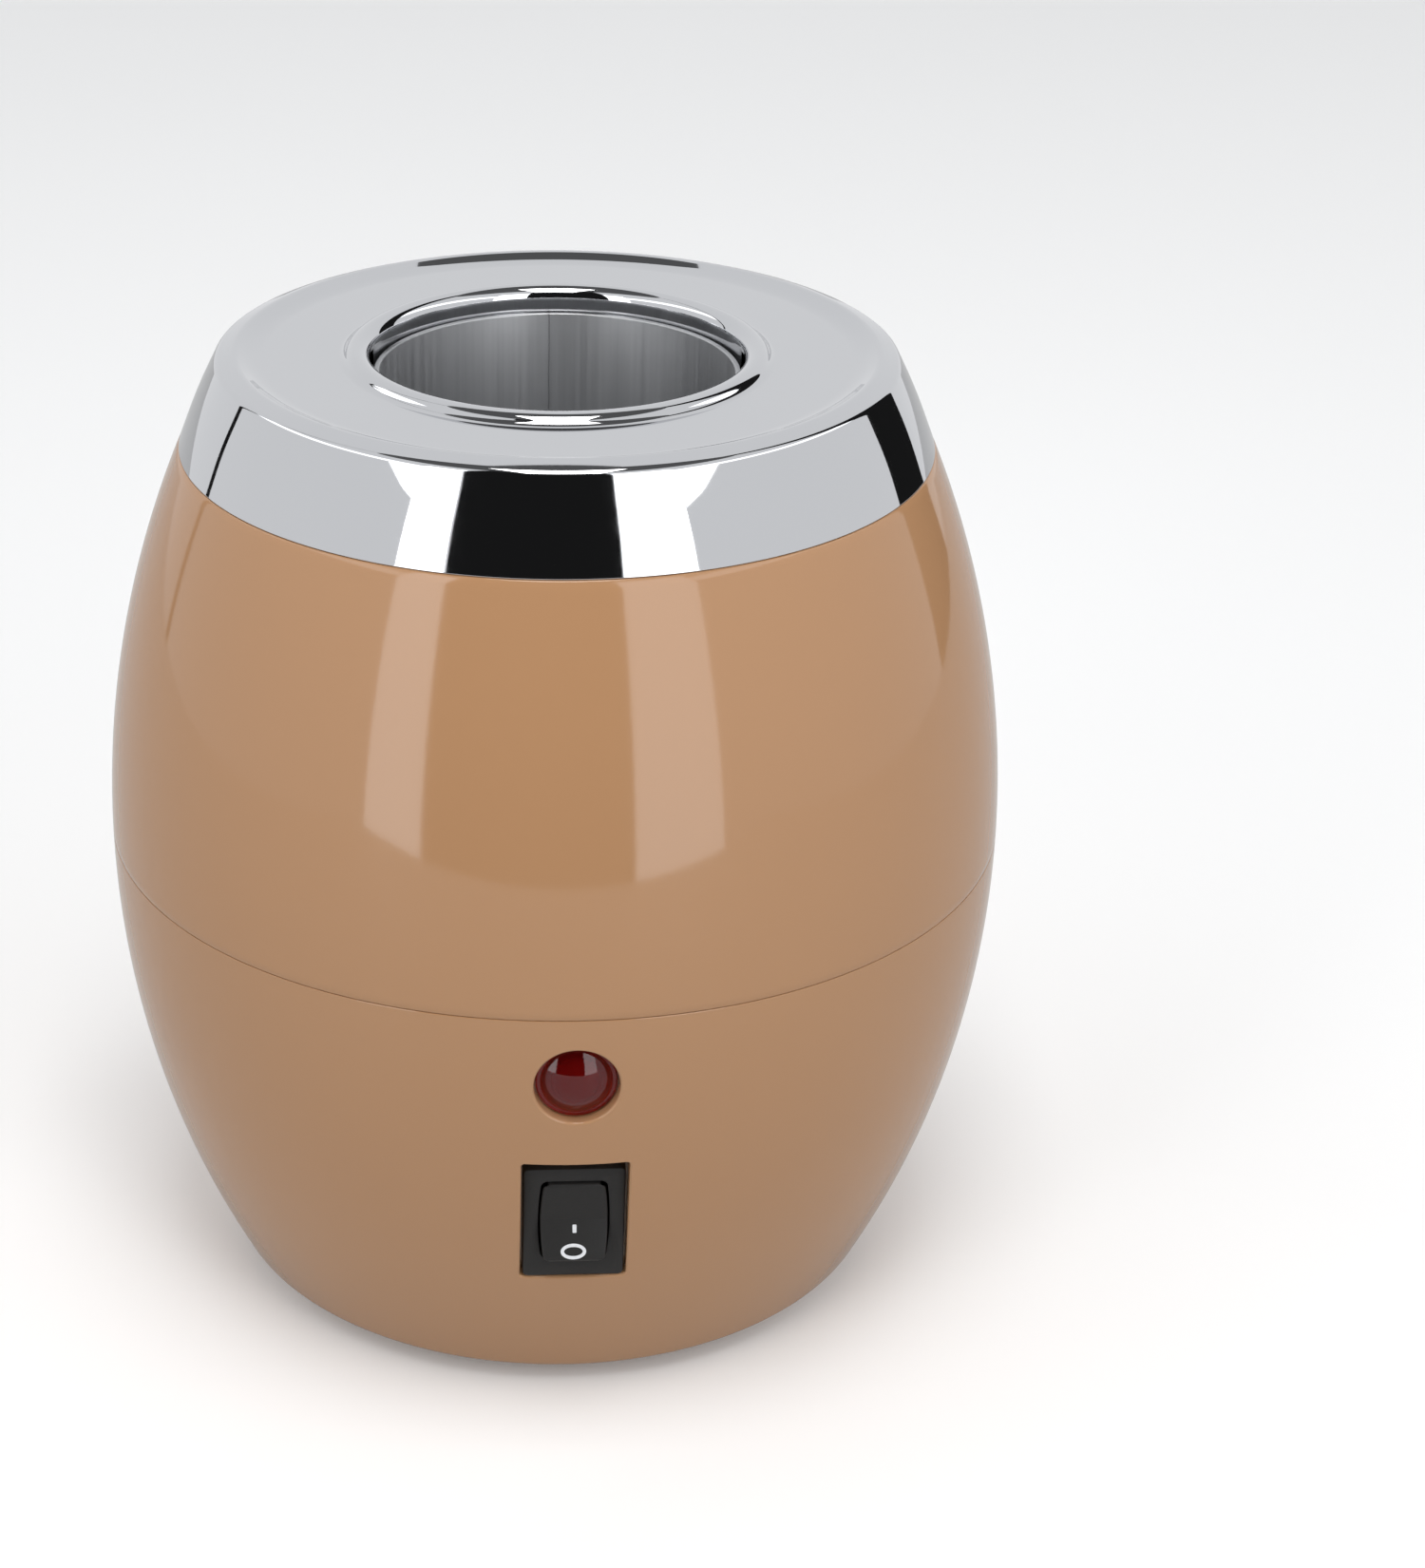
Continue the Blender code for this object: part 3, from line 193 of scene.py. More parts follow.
def plastic(name, dark, light, roughness, tone_scale=35.0, grain_scale=900.0, grain=0.004 * MM, **sockets):
    """Moulded plastic: faint colour drift, uneven gloss and a fine surface grain."""
    material, tree, shader, place = new_material(name, light, roughness, **sockets)
    tone = noise(tree, place, tone_scale, 2.0)
    tree.links.new(two_tone(tree, tone, dark, light), shader.inputs["Base Color"])
    gloss = noise(tree, place, tone_scale * 4, 4.0)
    low, high = roughness * 0.85, roughness * 1.2
    tree.links.new(spread(tree, gloss, low, high), shader.inputs["Roughness"])
    bump(tree, shader, noise(tree, place, grain_scale, 2.0), grain)
    return material


def metal(name, dark, light, roughness, stretch=(1, 1, 1), scale=400.0, relief=0.002 * MM, rough_spread=0.3):
    """Metal with tool or handling marks stretched along one axis."""
    material, tree, shader, place = new_material(name, light, roughness, 1.0)
    marks = noise(tree, place, scale, 5.0, stretch, 0.65)
    tree.links.new(two_tone(tree, marks, dark, light), shader.inputs["Base Color"])
    low, high = roughness * (1 - rough_spread), roughness * (1 + rough_spread)
    tree.links.new(spread(tree, marks, low, high), shader.inputs["Roughness"])
    bump(tree, shader, marks, relief)
    return material


def chrome_material():
    """Bright chrome: mirror gloss with slight moulding waves and hair-fine wipe marks."""
    material, tree, shader, place = new_material("chrome", (0.64, 0.645, 0.665), 0.03, 1.0)
    wipes = noise(tree, place, 260.0, 6.0, (1.0, 0.08, 1.0), 0.7)
    tree.links.new(spread(tree, wipes, 0.022, 0.05, 0.35, 0.75), shader.inputs["Roughness"])
    tone = noise(tree, place, 20.0, 2.0)
    tones = two_tone(tree, tone, (0.63, 0.635, 0.655), (0.66, 0.665, 0.68))
    tree.links.new(tones, shader.inputs["Base Color"])
    bump(tree, shader, noise(tree, place, 55.0, 1.0), 0.02 * MM)
    return material


def lens_material():
    """Clear red plastic of the pilot lens."""
    material, tree, shader, place = new_material(
        "red_lens", (0.60, 0.012, 0.010), 0.03, Transmission_Weight=0.92, IOR=1.49
    )
    swirl = noise(tree, place, 300.0, 2.0)
    tones = two_tone(tree, swirl, (0.55, 0.010, 0.008), (0.68, 0.018, 0.014))
    tree.links.new(tones, shader.inputs["Base Color"])
    tree.links.new(spread(tree, swirl, 0.02, 0.05), shader.inputs["Roughness"])
    return material


def woven_material():
    """Woven glass-fibre sleeving."""
    material, tree, shader, place = new_material("glass_fibre", (0.82, 0.81, 0.77), 0.9)
    weave = tree.nodes.new("ShaderNodeTexWave")
    weave.inputs["Scale"].default_value = 320.0
    weave.inputs["Distortion"].default_value = 1.5
    tree.links.new(place, weave.inputs["Vector"])
    tones = two_tone(tree, weave.outputs["Fac"], (0.62, 0.60, 0.55), (0.86, 0.85, 0.80))
    tree.links.new(tones, shader.inputs["Base Color"])
    bump(tree, shader, weave.outputs["Fac"], 0.2 * MM)
    return material


TAN_LIGHT = (0.412, 0.226, 0.114)
TAN_DARK = (0.401, 0.219, 0.110)
MATERIALS = {
    "tan_shell": plastic("tan_plastic", TAN_DARK, TAN_LIGHT, 0.07, grain=0.002 * MM),
    "chrome_cap": chrome_material(),
    "aluminium_well": metal(
        "drawn_aluminium", (0.41, 0.415, 0.425), (0.56, 0.565, 0.575), 0.42, (1, 1, 0.012), 900.0, 0.01 * MM
    ),
    "zinc_steel": metal("zinc_steel", (0.50, 0.50, 0.47), (0.66, 0.66, 0.62), 0.32, scale=700.0),
    "black_plastic": plastic(
        "black_plastic", (0.013, 0.0125, 0.012), (0.018, 0.017, 0.0165), 0.46, 60.0, 2600.0, 0.02 * MM,
        Specular_IOR_Level=0.32,
    ),
    "black_rubber": plastic(
        "black_rubber", (0.016, 0.016, 0.016), (0.030, 0.029, 0.028), 0.75, 90.0, 1500.0, 0.03 * MM
    ),
    "red_lens": lens_material(),
    "white_plastic": plastic("white_plastic", (0.70, 0.69, 0.66), (0.80, 0.79, 0.76), 0.35),
    "bulb_glass": plastic(
        "bulb_glass", (0.85, 0.62, 0.50), (0.95, 0.75, 0.62), 0.03, Transmission_Weight=0.9, IOR=1.45
    ),
    "brass_contacts": metal("brass", (0.62, 0.45, 0.18), (0.78, 0.62, 0.30), 0.28, scale=700.0),
    "glass_fibre": woven_material(),
    "mica_steel": metal("mica_steel", (0.24, 0.22, 0.20), (0.42, 0.40, 0.37), 0.42, (1, 1, 0.2)),
    "ceramic_body": plastic(
        "ceramic", (0.72, 0.70, 0.64), (0.82, 0.80, 0.74), 0.55, 120.0, 1200.0, 0.02 * MM
    ),
    "wire_brown": plastic("wire_brown", (0.16, 0.07, 0.035), (0.22, 0.10, 0.05), 0.4),
    "wire_blue": plastic("wire_blue", (0.03, 0.09, 0.35), (0.05, 0.13, 0.45), 0.4),
}
slot_of_node = {part["node"]: part["material_slot"] for part in frame["record"]["subparts"]}
body_of_node = {
    node: body for body, nodes in frame["record"]["behaviour"]["bodies"].items() for node in nodes
}
for node_name, node_object in frame["nodes"].items():
    node_object.data.materials.clear()
    node_object.data.materials.append(MATERIALS[slot_of_node[node_name]])

# Painted shade: a dark plastic for the disc behind the lens, which stands for the shade inside the lamp.
LAMP_SHADE = plastic("lamp_painted_shade", (0.016, 0.013, 0.013), (0.030, 0.024, 0.023), 0.35, 300.0)
PRINT, print_tree, print_shader, print_place = new_material("white_print", (0.75, 0.76, 0.78), 0.45)
print_tone = noise(print_tree, print_place, 2500.0, 3.0)
print_tones = two_tone(print_tree, print_tone, (0.62, 0.63, 0.66), (0.82, 0.83, 0.85))
print_tree.links.new(print_tones, print_shader.inputs["Base Color"])


# ---------------------------------------------------------------- mesh tools
def finish_piece(name, mesh, node, material=None, sharp=32.0, replace=True, slot_name=None):
    """Shade, colour and place a new piece on the body of the CAD node that it refines."""
    mesh.shade_smooth()
    mesh.set_sharp_from_angle(angle=math.radians(sharp))
    piece = bpy.data.objects.new(name, mesh)
    bpy.context.scene.collection.objects.link(piece)
    mesh.materials.clear()
    mesh.materials.append(material or MATERIALS[slot_of_node[node]])
    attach(piece, body_of_node[node])
    if replace:
        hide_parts(node)
    return piece


def rounded(corners, segments=6, closed=True):
    """Round the corners (x, y, radius) of an outline with arcs."""
    points = []
    count = len(corners)
    for i, (x, y, radius) in enumerate(corners):
        here = Vector((x, y))
        if radius <= 0 or (not closed and i in (0, count - 1)):
            points.append((x, y))
            continue
        before = Vector(corners[i - 1][:2]) - here
        after = Vector(corners[(i + 1) % count][:2]) - here
        half_turn = (math.pi - before.angle(after)) / 2
        reach = radius * math.tan(half_turn)
        limit = 0.499 * min(before.length, after.length)
        scale = min(1.0, limit / reach) if reach > 0 else 1.0
        radius, reach = radius * scale, reach * scale
        start = here + before.normalized() * reach
        end = here + after.normalized() * reach
        bisector = (before.normalized() + after.normalized()).normalized()
        centre = here + bisector * math.hypot(radius, reach)
        first, last = start - centre, end - centre
        sweep = math.atan2(first.x * last.y - first.y * last.x, first.dot(last))
        for step in range(segments + 1):
            turn = sweep * step / segments
            cos, sin = math.cos(turn), math.sin(turn)
            across = first.x * cos - first.y * sin
            points.append((centre.x + across, centre.y + first.x * sin + first.y * cos))
    return points


def lathe_mesh(name, outline, steps, closed=True):
    """Turn an outline of (radius, height) points round Z; it runs down its outer side."""
    shape = bmesh.new()
    rings = []
    for radius, height in outline:
        if radius < 1e-7:
            rings.append([shape.verts.new((0, 0, height))])
            continue
        ring = []
        for i in range(steps):
            angle = math.tau * i / steps
            ring.append(shape.verts.new((radius * math.cos(angle), radius * math.sin(angle), height)))
        rings.append(ring)
    pairs = list(zip(rings, rings[1:]))
    if closed:
        pairs.append((rings[-1], rings[0]))
    for upper, lower in pairs:
        for i in range(steps):
            j = (i + 1) % steps
            corners = [upper[i % len(upper)], lower[i % len(lower)]]
            corners += [lower[j % len(lower)], upper[j % len(upper)]]
            unique = list(dict.fromkeys(corners))
            if len(unique) > 2:
                shape.faces.new(unique)
    mesh = bpy.data.meshes.new(name)
    shape.to_mesh(mesh)
    shape.free()
    return mesh


def lathe(name, outline, node, steps=MEDIUM, closed=True, place=None, **look):
    """A turned piece, moved to its place."""
    mesh = lathe_mesh(name, outline, steps, closed)
    if place is not None:
        mesh.transform(place)
    return finish_piece(name, mesh, node, **look)


def facing_front(centre):
    """Place a turned piece so that its own +Z points to -Y."""
    return Matrix.Translation(centre) @ Matrix.Rotation(math.pi / 2, 4, "X")


# ---------------------------------------------------------------- barrel surface
def barrel_radius(height):
    """Radius of the barrel's outer side at a height."""
    return BODY_RADIUS - BARREL_ARC + math.sqrt(BARREL_ARC ** 2 - (height - EQUATOR_Z) ** 2)


def barrel_normal(point):
    """Outward normal of the barrel at a point on it."""
    ring = Vector((point.x, point.y, 0)).normalized()
    across = math.sqrt(BARREL_ARC ** 2 - (point.z - EQUATOR_Z) ** 2)
    return (ring * across + Vector((0, 0, point.z - EQUATOR_Z))).normalized()


def side_points(top, bottom, count):
    """Points down the barrel's side, without the last."""
    heights = [top + (bottom - top) * i / count for i in range(count)]
    return [(barrel_radius(height), height) for height in heights]


# ---------------------------------------------------------------- upper shell and cap
def make_upper_shell():
    """Upper barrel half with softly rounded edges at the parting line and under the cap."""
    edge = SEAM_EDGE
    top, bottom = CAP_LINE_Z - SEAM_GAP / 2, EQUATOR_Z + SEAM_GAP / 2
    outer = [(barrel_radius(top) - edge, top), (barrel_radius(top) - 0.3 * edge, top - 0.3 * edge)]
    outer += side_points(top - edge, bottom + edge, 56)
    outer += [
        (BODY_RADIUS, bottom + edge),
        (BODY_RADIUS - 0.3 * edge, bottom + 0.3 * edge),
        (BODY_RADIUS - edge, bottom),
    ]
    tongue = BODY_RADIUS - WALL - GAP
    tongue_wall = 1.6 * MM
    shelf = 2.2 * MM
    inner = [(tongue, bottom), (tongue, upper_low.z), (tongue - tongue_wall, upper_low.z)]
    inner += [(tongue - tongue_wall, bottom + 2 * MM)]
    heights = [bottom + 4 * MM + (top - shelf - bottom - 4 * MM) * i / 12 for i in range(13)]
    inner += [(barrel_radius(height) - WALL, height) for height in heights]
    inner += [(41.5 * MM, top - shelf), (41.5 * MM, top)]
    return lathe("upper_shell_skin", outer + inner, "upper_shell", FINE, sharp=40.0)


def make_top_cap():
    """Chromed cap: bulged side, rounded rim, flat ring, half-round bead and inner skirt."""
    hole = 28.4 * MM
    flat_z = 151.9 * MM
    top_z = cap_high.z
    bead_radius = 2.1 * MM
    bead_centre = (hole + bead_radius, top_z - bead_radius)
    cove = 1.6 * MM
    cove_rise = flat_z + cove - bead_centre[1]
    cove_reach = math.sqrt((bead_radius + cove) ** 2 - cove_rise ** 2)
    cove_centre = (bead_centre[0] + cove_reach, flat_z + cove)
    meet = math.atan2(cove_rise, cove_reach)
    bead = []
    for i in range(25):
        angle = math.pi + (meet - math.pi) * i / 24
        reach, rise = bead_radius * math.cos(angle), bead_radius * math.sin(angle)
        bead.append((bead_centre[0] + reach, bead_centre[1] + rise))
    for i in range(1, 9):
        angle = math.pi + meet + (math.pi / 2 - meet) * i / 8
        bead.append((cove_centre[0] + cove * math.cos(angle), cove_centre[1] + cove * math.sin(angle)))
    foot = (barrel_radius(CAP_LINE_Z), CAP_LINE_Z + SEAM_GAP / 2)
    shoulder = (51.78 * MM, top_z)
    middle = ((foot[0] + shoulder[0]) / 2 + 0.2 * MM, (foot[1] + shoulder[1]) / 2)
    rest = rounded(
        [
            (cove_centre[0] + 2 * MM, flat_z, 0),
            (46.2 * MM, flat_z, 6.0 * MM),
            (48.9 * MM, top_z - 0.10 * MM, 3.0 * MM),
            (shoulder[0] - 1.7 * MM, shoulder[1] - 0.45 * MM, 2.0 * MM),
            (shoulder[0] + 0.15 * MM, shoulder[1] - 1.1 * MM, 1.6 * MM),
            (*middle, 0.28),
            (foot[0], foot[1], SEAM_EDGE),
            (foot[0] - 1.7 * MM, foot[1], 0),
            (49.4 * MM, top_z - 2.6 * MM, 0),
            (48.0 * MM, flat_z - 1.6 * MM, 0),
            (hole + 1.6 * MM, flat_z - 1.6 * MM, 0),
            (hole + 1.6 * MM, cap_low.z + 5.4 * MM, 0),
            (hole, cap_low.z + 5.4 * MM, 0.3 * MM),
            (hole, bead_centre[1] - 0.1 * MM, 0),
        ],
        segments=10,
        closed=False,
    )
    return lathe("top_cap_skin", bead + rest, "top_cap", FINE, sharp=35.0)


# ---------------------------------------------------------------- lower shell with its front features
def round_rect(half_width, half_height, radius, bow=0.0, centre_rise=0.0, corner_steps=4, side_steps=14):
    """A rounded rectangle, anticlockwise from its right side; its long sides may bow outwards."""
    corners = [(1, 1, 0.0), (-1, 1, 90.0), (-1, -1, 180.0), (1, -1, 270.0)]
    points = []
    for k, (sx, sy, start) in enumerate(corners):
        centre = Vector((sx * (half_width - radius), sy * (half_height - radius)))
        for i in range(corner_steps + 1):
            angle = math.radians(start + 90.0 * i / corner_steps)
            points.append(centre + radius * Vector((math.cos(angle), math.sin(angle))))
        nx, ny, next_start = corners[(k + 1) % 4]
        angle = math.radians(next_start)
        following = Vector((nx * (half_width - radius), ny * (half_height - radius)))
        following += radius * Vector((math.cos(angle), math.sin(angle)))
        last = points[-1]
        points += [last.lerp(following, i / side_steps) for i in range(1, side_steps)]
    for point in points:
        bulge = 1 - (point.y / half_height) ** 2
        point.x += math.copysign(bow, point.x) * bulge * abs(point.x) / half_width
        point.y += centre_rise
    return points


def circle(radius, count=72):
    """A circle, anticlockwise."""
    angles = [math.tau * i / count for i in range(count)]
    return [Vector((radius * math.cos(angle), radius * math.sin(angle))) for angle in angles]


def inner_radius(height):
    """Radius of the thick inner wall that carries the switch, lamp and gland."""
    return barrel_radius(height) - FRONT_WALL


def drop_on(surface, point, along):
    """Slide a point inwards along a direction until it lies on a turned surface."""
    low, high = -20 * MM, 20 * MM
    for _ in range(40):
        middle = (low + high) / 2
        place = point + along * middle
        if math.hypot(place.x, place.y) > surface(place.z):
            low = middle
        else:
            high = middle
    return point + along * low


def recess_rings(placing, outline_at, edge, floor_depth, hole):
    """Rings from the barrel's skin over a rounded mouth, down the wall and floor, and out inside."""
    inward = (placing.to_3x3() @ Vector((0, 1, 0))).normalized()

    def world(point, depth=0.0):
        return placing @ Vector((point.x, depth, point.y))

    mouth = [drop_on(barrel_radius, world(point), inward) for point in outline_at(edge)]
    wall = [drop_on(barrel_radius, world(point), inward) for point in outline_at(0.0)]
    rings = [mouth]
    for i in range(1, 5):
        angle = math.pi / 2 * i / 4
        depth = inward * edge * (1 - math.cos(angle))
        rings.append([outer.lerp(inner, math.sin(angle)) + depth for outer, inner in zip(mouth, wall)])
    rings.append([world(point, floor_depth) for point in outline_at(0.0)])
    rings.append([world(point, floor_depth) for point in hole])
    rings.append([drop_on(inner_radius, world(point), inward) for point in hole])
    return rings


def gland_rings():
    """Rings over the rear boss, its seat and the hole through it."""
    inward = Vector((0, -1, 0))

    def ring(radius, least_y=None, level=None):
        points = []
        for flat in circle(radius, 96):
            place = Vector((-flat.x, GLAND_SEAT_Y, GLAND_CENTRE_Z + flat.y))
            if level is None:
                on_skin = drop_on(barrel_radius, place, inward)
                place.y = on_skin.y if least_y is None else max(on_skin.y, least_y)
            else:
                place.y = level
            points.append(place)
        return points

    boss, seat, hole, step = 10.0 * MM, 8.7 * MM, LAMP_HOLE_RADIUS, 0.05 * MM
    rings = [ring(boss + 0.4 * MM), ring(boss, GLAND_SEAT_Y - 0.3 * MM), ring(boss - 0.3 * MM, GLAND_SEAT_Y)]
    rings += [ring(seat, GLAND_SEAT_Y), ring(seat - step, level=GLAND_SEAT_Y - step)]
    rings += [ring(hole, level=GLAND_SEAT_Y - step)]
    rings.append([drop_on(inner_radius, place, inward) for place in rings[-1]])
    return rings


def turn_slivers(shape):
    """Turn the long edge of triangles whose corners all lie in one row of the turned skin."""
    for face in list(shape.faces):
        if not face.is_valid or len(face.verts) != 3:
            continue
        face.normal_update()
        middle = face.calc_center_median()
        radial = Vector((middle.x, middle.y, 0)).normalized()
        if abs(face.normal.dot(radial)) > 0.7:
            continue
        longest = max(face.edges, key=lambda edge: edge.calc_length())
        if len(longest.link_faces) == 2 and all(len(near.verts) == 3 for near in longest.link_faces):
            bmesh.utils.edge_rotate(longest, True)


def lift_to_skin(shape, most_sag=0.01 * MM):
    """Halve the long edges among the filled triangles, and put the new points on the barrel."""

    def off_skin(point):
        return abs(math.hypot(point.x, point.y) - barrel_radius(point.z))

    long_edges = []
    for edge in shape.edges:
        first, second = (vert.co for vert in edge.verts)
        triangles = len(edge.link_faces) == 2 and all(len(face.verts) == 3 for face in edge.link_faces)
        if triangles and max(off_skin(first), off_skin(second)) < 0.02 * MM:
            if off_skin((first + second) / 2) > most_sag:
                long_edges.append(edge)
    halved = bmesh.ops.subdivide_edges(shape, edges=long_edges, cuts=1)
    for item in halved["geom_inner"]:
        if isinstance(item, bmesh.types.BMVert):
            stretch = barrel_radius(item.co.z) / math.hypot(item.co.x, item.co.y)
            item.co.x *= stretch
            item.co.y *= stretch
    filled = [
        face
        for face in shape.faces
        if len(face.verts) > 3 and any(vert in face.verts for vert in halved["geom_inner"])
    ]
    bmesh.ops.triangulate(shape, faces=filled)


def cut_through(shape, rings, margin=0.9 * MM):
    """Let a ring-built opening into the wall, and sew it to the outer and the inner skin."""
    side = math.copysign(1.0, rings[0][0].y)
    xs, zs = [p.x for p in rings[0]], [p.z for p in rings[0]]
    low_x, high_x = min(xs) - margin, max(xs) + margin
    low_z, high_z = min(zs) - margin, max(zs) + margin
    touched = {
        face
        for vert in shape.verts
        if vert.co.y * side > 30 * MM and low_x < vert.co.x < high_x and low_z < vert.co.z < high_z
        for face in vert.link_faces
    }
    bmesh.ops.delete(shape, geom=list(touched), context="FACES")
    built = [[shape.verts.new(point) for point in ring] for ring in rings]
    for outer, inner in zip(built, built[1:]):
        for i in range(len(outer)):
            j = (i + 1) % len(outer)
            shape.faces.new([outer[i], outer[j], inner[j], inner[i]])
    for surface, outward in ((barrel_radius, side), (inner_radius, -side)):
        rim = [
            edge
            for edge in shape.edges
            if len(edge.link_faces) == 1
            and all(abs(math.hypot(v.co.x, v.co.y) - surface(v.co.z)) < 0.12 * MM for v in edge.verts)
        ]
        bmesh.ops.triangle_fill(shape, use_beauty=True, edges=rim, normal=Vector((0, outward, 0)))
    for _ in range(8):
        turn_slivers(shape)
    for _ in range(3):
        lift_to_skin(shape)
    loose = [vert for vert in shape.verts if not vert.link_faces]
    bmesh.ops.delete(shape, geom=loose, context="VERTS")


def make_lower_shell():
    """Lower barrel half: a turned wall with the switch pocket, lamp recess and gland seat."""
    edge = SEAM_EDGE
    top = EQUATOR_Z - SEAM_GAP / 2
    lean = math.asin((EQUATOR_Z - BASE_Z) / BARREL_ARC)
    tangent = BASE_CORNER * math.tan((math.pi / 2 - lean) / 2)
    corner_centre = (barrel_radius(BASE_Z) - tangent, BASE_Z + BASE_CORNER)
    corner = []
    for i in range(13):
        angle = lean + (math.pi / 2 - lean) * i / 12
        radius = corner_centre[0] + BASE_CORNER * math.cos(angle)
        corner.append((radius, corner_centre[1] - BASE_CORNER * math.sin(angle)))
    outer = [(BODY_RADIUS - edge, top), (BODY_RADIUS - 0.3 * edge, top - 0.3 * edge)]
    outer += side_points(top - edge, corner[0][1], 64)
    outer += corner
    outer += [(BASE_OPENING, BASE_Z), (BASE_OPENING, BASE_Z + WALL)]
    low = BASE_Z + BASE_CORNER
    inner = [(inner_radius(low) - 2 * MM, BASE_Z + WALL)]
    heights = [low + (FRONT_WALL_TOP - low) * i / 40 for i in range(41)]
    inner += [(inner_radius(height), height) for height in heights]
    inner += [(BODY_RADIUS - WALL, FRONT_WALL_TOP + 1 * MM), (BODY_RADIUS - WALL, top)]
    mesh = lathe_mesh("lower_shell_skin", outer + inner, FINE)

    shape = bmesh.new()
    shape.from_mesh(mesh)
    lamp_place = Matrix.Translation(Vector((0, LAMP_SEAT_Y, LAMP_CENTRE.z)))
    pocket_place = switch_place @ Matrix.Translation((0, 0, POCKET_RISE))
    window = round_rect(6.75 * MM, 9.9 * MM, 0.3 * MM, centre_rise=-POCKET_RISE)
    corner_radius, mouth_edge = 0.5 * MM, 0.45 * MM

    def pocket_at(grow):
        return round_rect(POCKET_WIDTH / 2 + grow, POCKET_HEIGHT / 2 + grow, corner_radius + grow)

    def recess_at(grow):
        return circle(LAMP_RECESS_RADIUS + grow)

    cut_through(shape, recess_rings(pocket_place, pocket_at, mouth_edge, POCKET_FLOOR, window))
    cut_through(shape, recess_rings(lamp_place, recess_at, mouth_edge, 0.0, circle(LAMP_HOLE_RADIUS)))
    cut_through(shape, gland_rings())
    bmesh.ops.remove_doubles(shape, verts=shape.verts, dist=0.002 * MM)
    bmesh.ops.recalc_face_normals(shape, faces=shape.faces)
    shape.to_mesh(mesh)
    shape.free()
    piece = finish_piece("lower_shell_skin", mesh, "lower_shell", sharp=30.0)
    exact_normals(mesh)
    return piece


def exact_normals(mesh):
    """Give the barrel's outer faces the true surface normal, so that reflections stay smooth."""
    normals = [Vector(corner.vector) for corner in mesh.corner_normals]
    for face in mesh.polygons:
        for index in face.loop_indices:
            point = mesh.vertices[mesh.loops[index].vertex_index].co
            if abs(math.hypot(point.x, point.y) - barrel_radius(point.z)) > 0.02 * MM:
                continue
            exact = barrel_normal(point)
            if face.normal.dot(exact) > 0.97:
                normals[index] = exact
    mesh.normals_split_custom_set([tuple(normal) for normal in normals])


# ---------------------------------------------------------------- well
def make_well():
    """Rolled sleeve with a fine seam line at the back, and the floor with turning marks."""
    outer, inner = sleeve_high.x, sleeve_high.x - 0.9 * MM
    top, bottom = sleeve_high.z, sleeve_low.z
    lip = 0.25 * MM
    groove = 0.08 * MM
    outline = [(inner, top, lip), (outer, top, lip), (outer, bottom, 0), (inner, bottom, 0)]
    section = rounded(outline, segments=3)
    steps = 192
    shape = bmesh.new()
    rings = []
    turns = [math.tau * i / steps for i in range(1, steps)]
    turns = [0.0, groove / inner, *turns, math.tau - groove / inner]
    for turn in turns:
        angle = math.pi / 2 + turn
        sink = groove if turn == 0.0 else 0.0
        rings.append([])
        for radius, height in section:
            inside = radius < (outer + inner) / 2
            radius += sink if inside else -sink
            rings[-1].append(shape.verts.new((radius * math.cos(angle), radius * math.sin(angle), height)))
    for first, second in zip(rings, rings[1:] + rings[:1]):
        for i in range(len(section)):
            j = (i + 1) % len(section)
            shape.faces.new([first[i], second[i], second[j], first[j]])
    bmesh.ops.recalc_face_normals(shape, faces=shape.faces)
    mesh = bpy.data.meshes.new("sleeve_skin")
    shape.to_mesh(mesh)
    shape.free()
    finish_piece("sleeve_skin", mesh, "heating_sleeve")

    plug = inner - GAP
    dish = 0.2 * MM
    outline = rounded(
        [
            (0, floor_high.z - dish, 0),
            (8 * MM, floor_high.z - dish, 2 * MM),
            (12 * MM, floor_high.z, 2 * MM),
            (plug, floor_high.z, 0.5 * MM),
            (plug, sleeve_low.z - GAP, 0),
            (floor_high.x, sleeve_low.z - GAP, 0),
            (floor_high.x, floor_low.z, 0.4 * MM),
            (0, floor_low.z, 0),
        ],
        closed=False,
    )
    lathe("well_floor_skin", outline, "well_floor", 128, closed=False)


# ---------------------------------------------------------------- switch, lamp, gland and feet
def loft(name, rings, node, place, start_cap=True, end_cap=True, **look):
    """A closed skin through rings of equal point counts."""
    shape = bmesh.new()
    built = [[shape.verts.new(place @ Vector(point)) for point in ring] for ring in rings]
    for first, second in zip(built, built[1:]):
        for i in range(len(first)):
            j = (i + 1) % len(first)
            shape.faces.new([first[i], first[j], second[j], second[i]])
    if start_cap:
        shape.faces.new(built[0])
    if end_cap:
        shape.faces.new(built[-1])
    bmesh.ops.recalc_face_normals(shape, faces=shape.faces)
    mesh = bpy.data.meshes.new(name)
    shape.to_mesh(mesh)
    shape.free()
    return finish_piece(name, mesh, node, **look)


def at_depth(points, depth):
    """Lift outline points (across, up) to a depth behind the bezel's front."""
    return [(point.x, depth, point.y) for point in points]


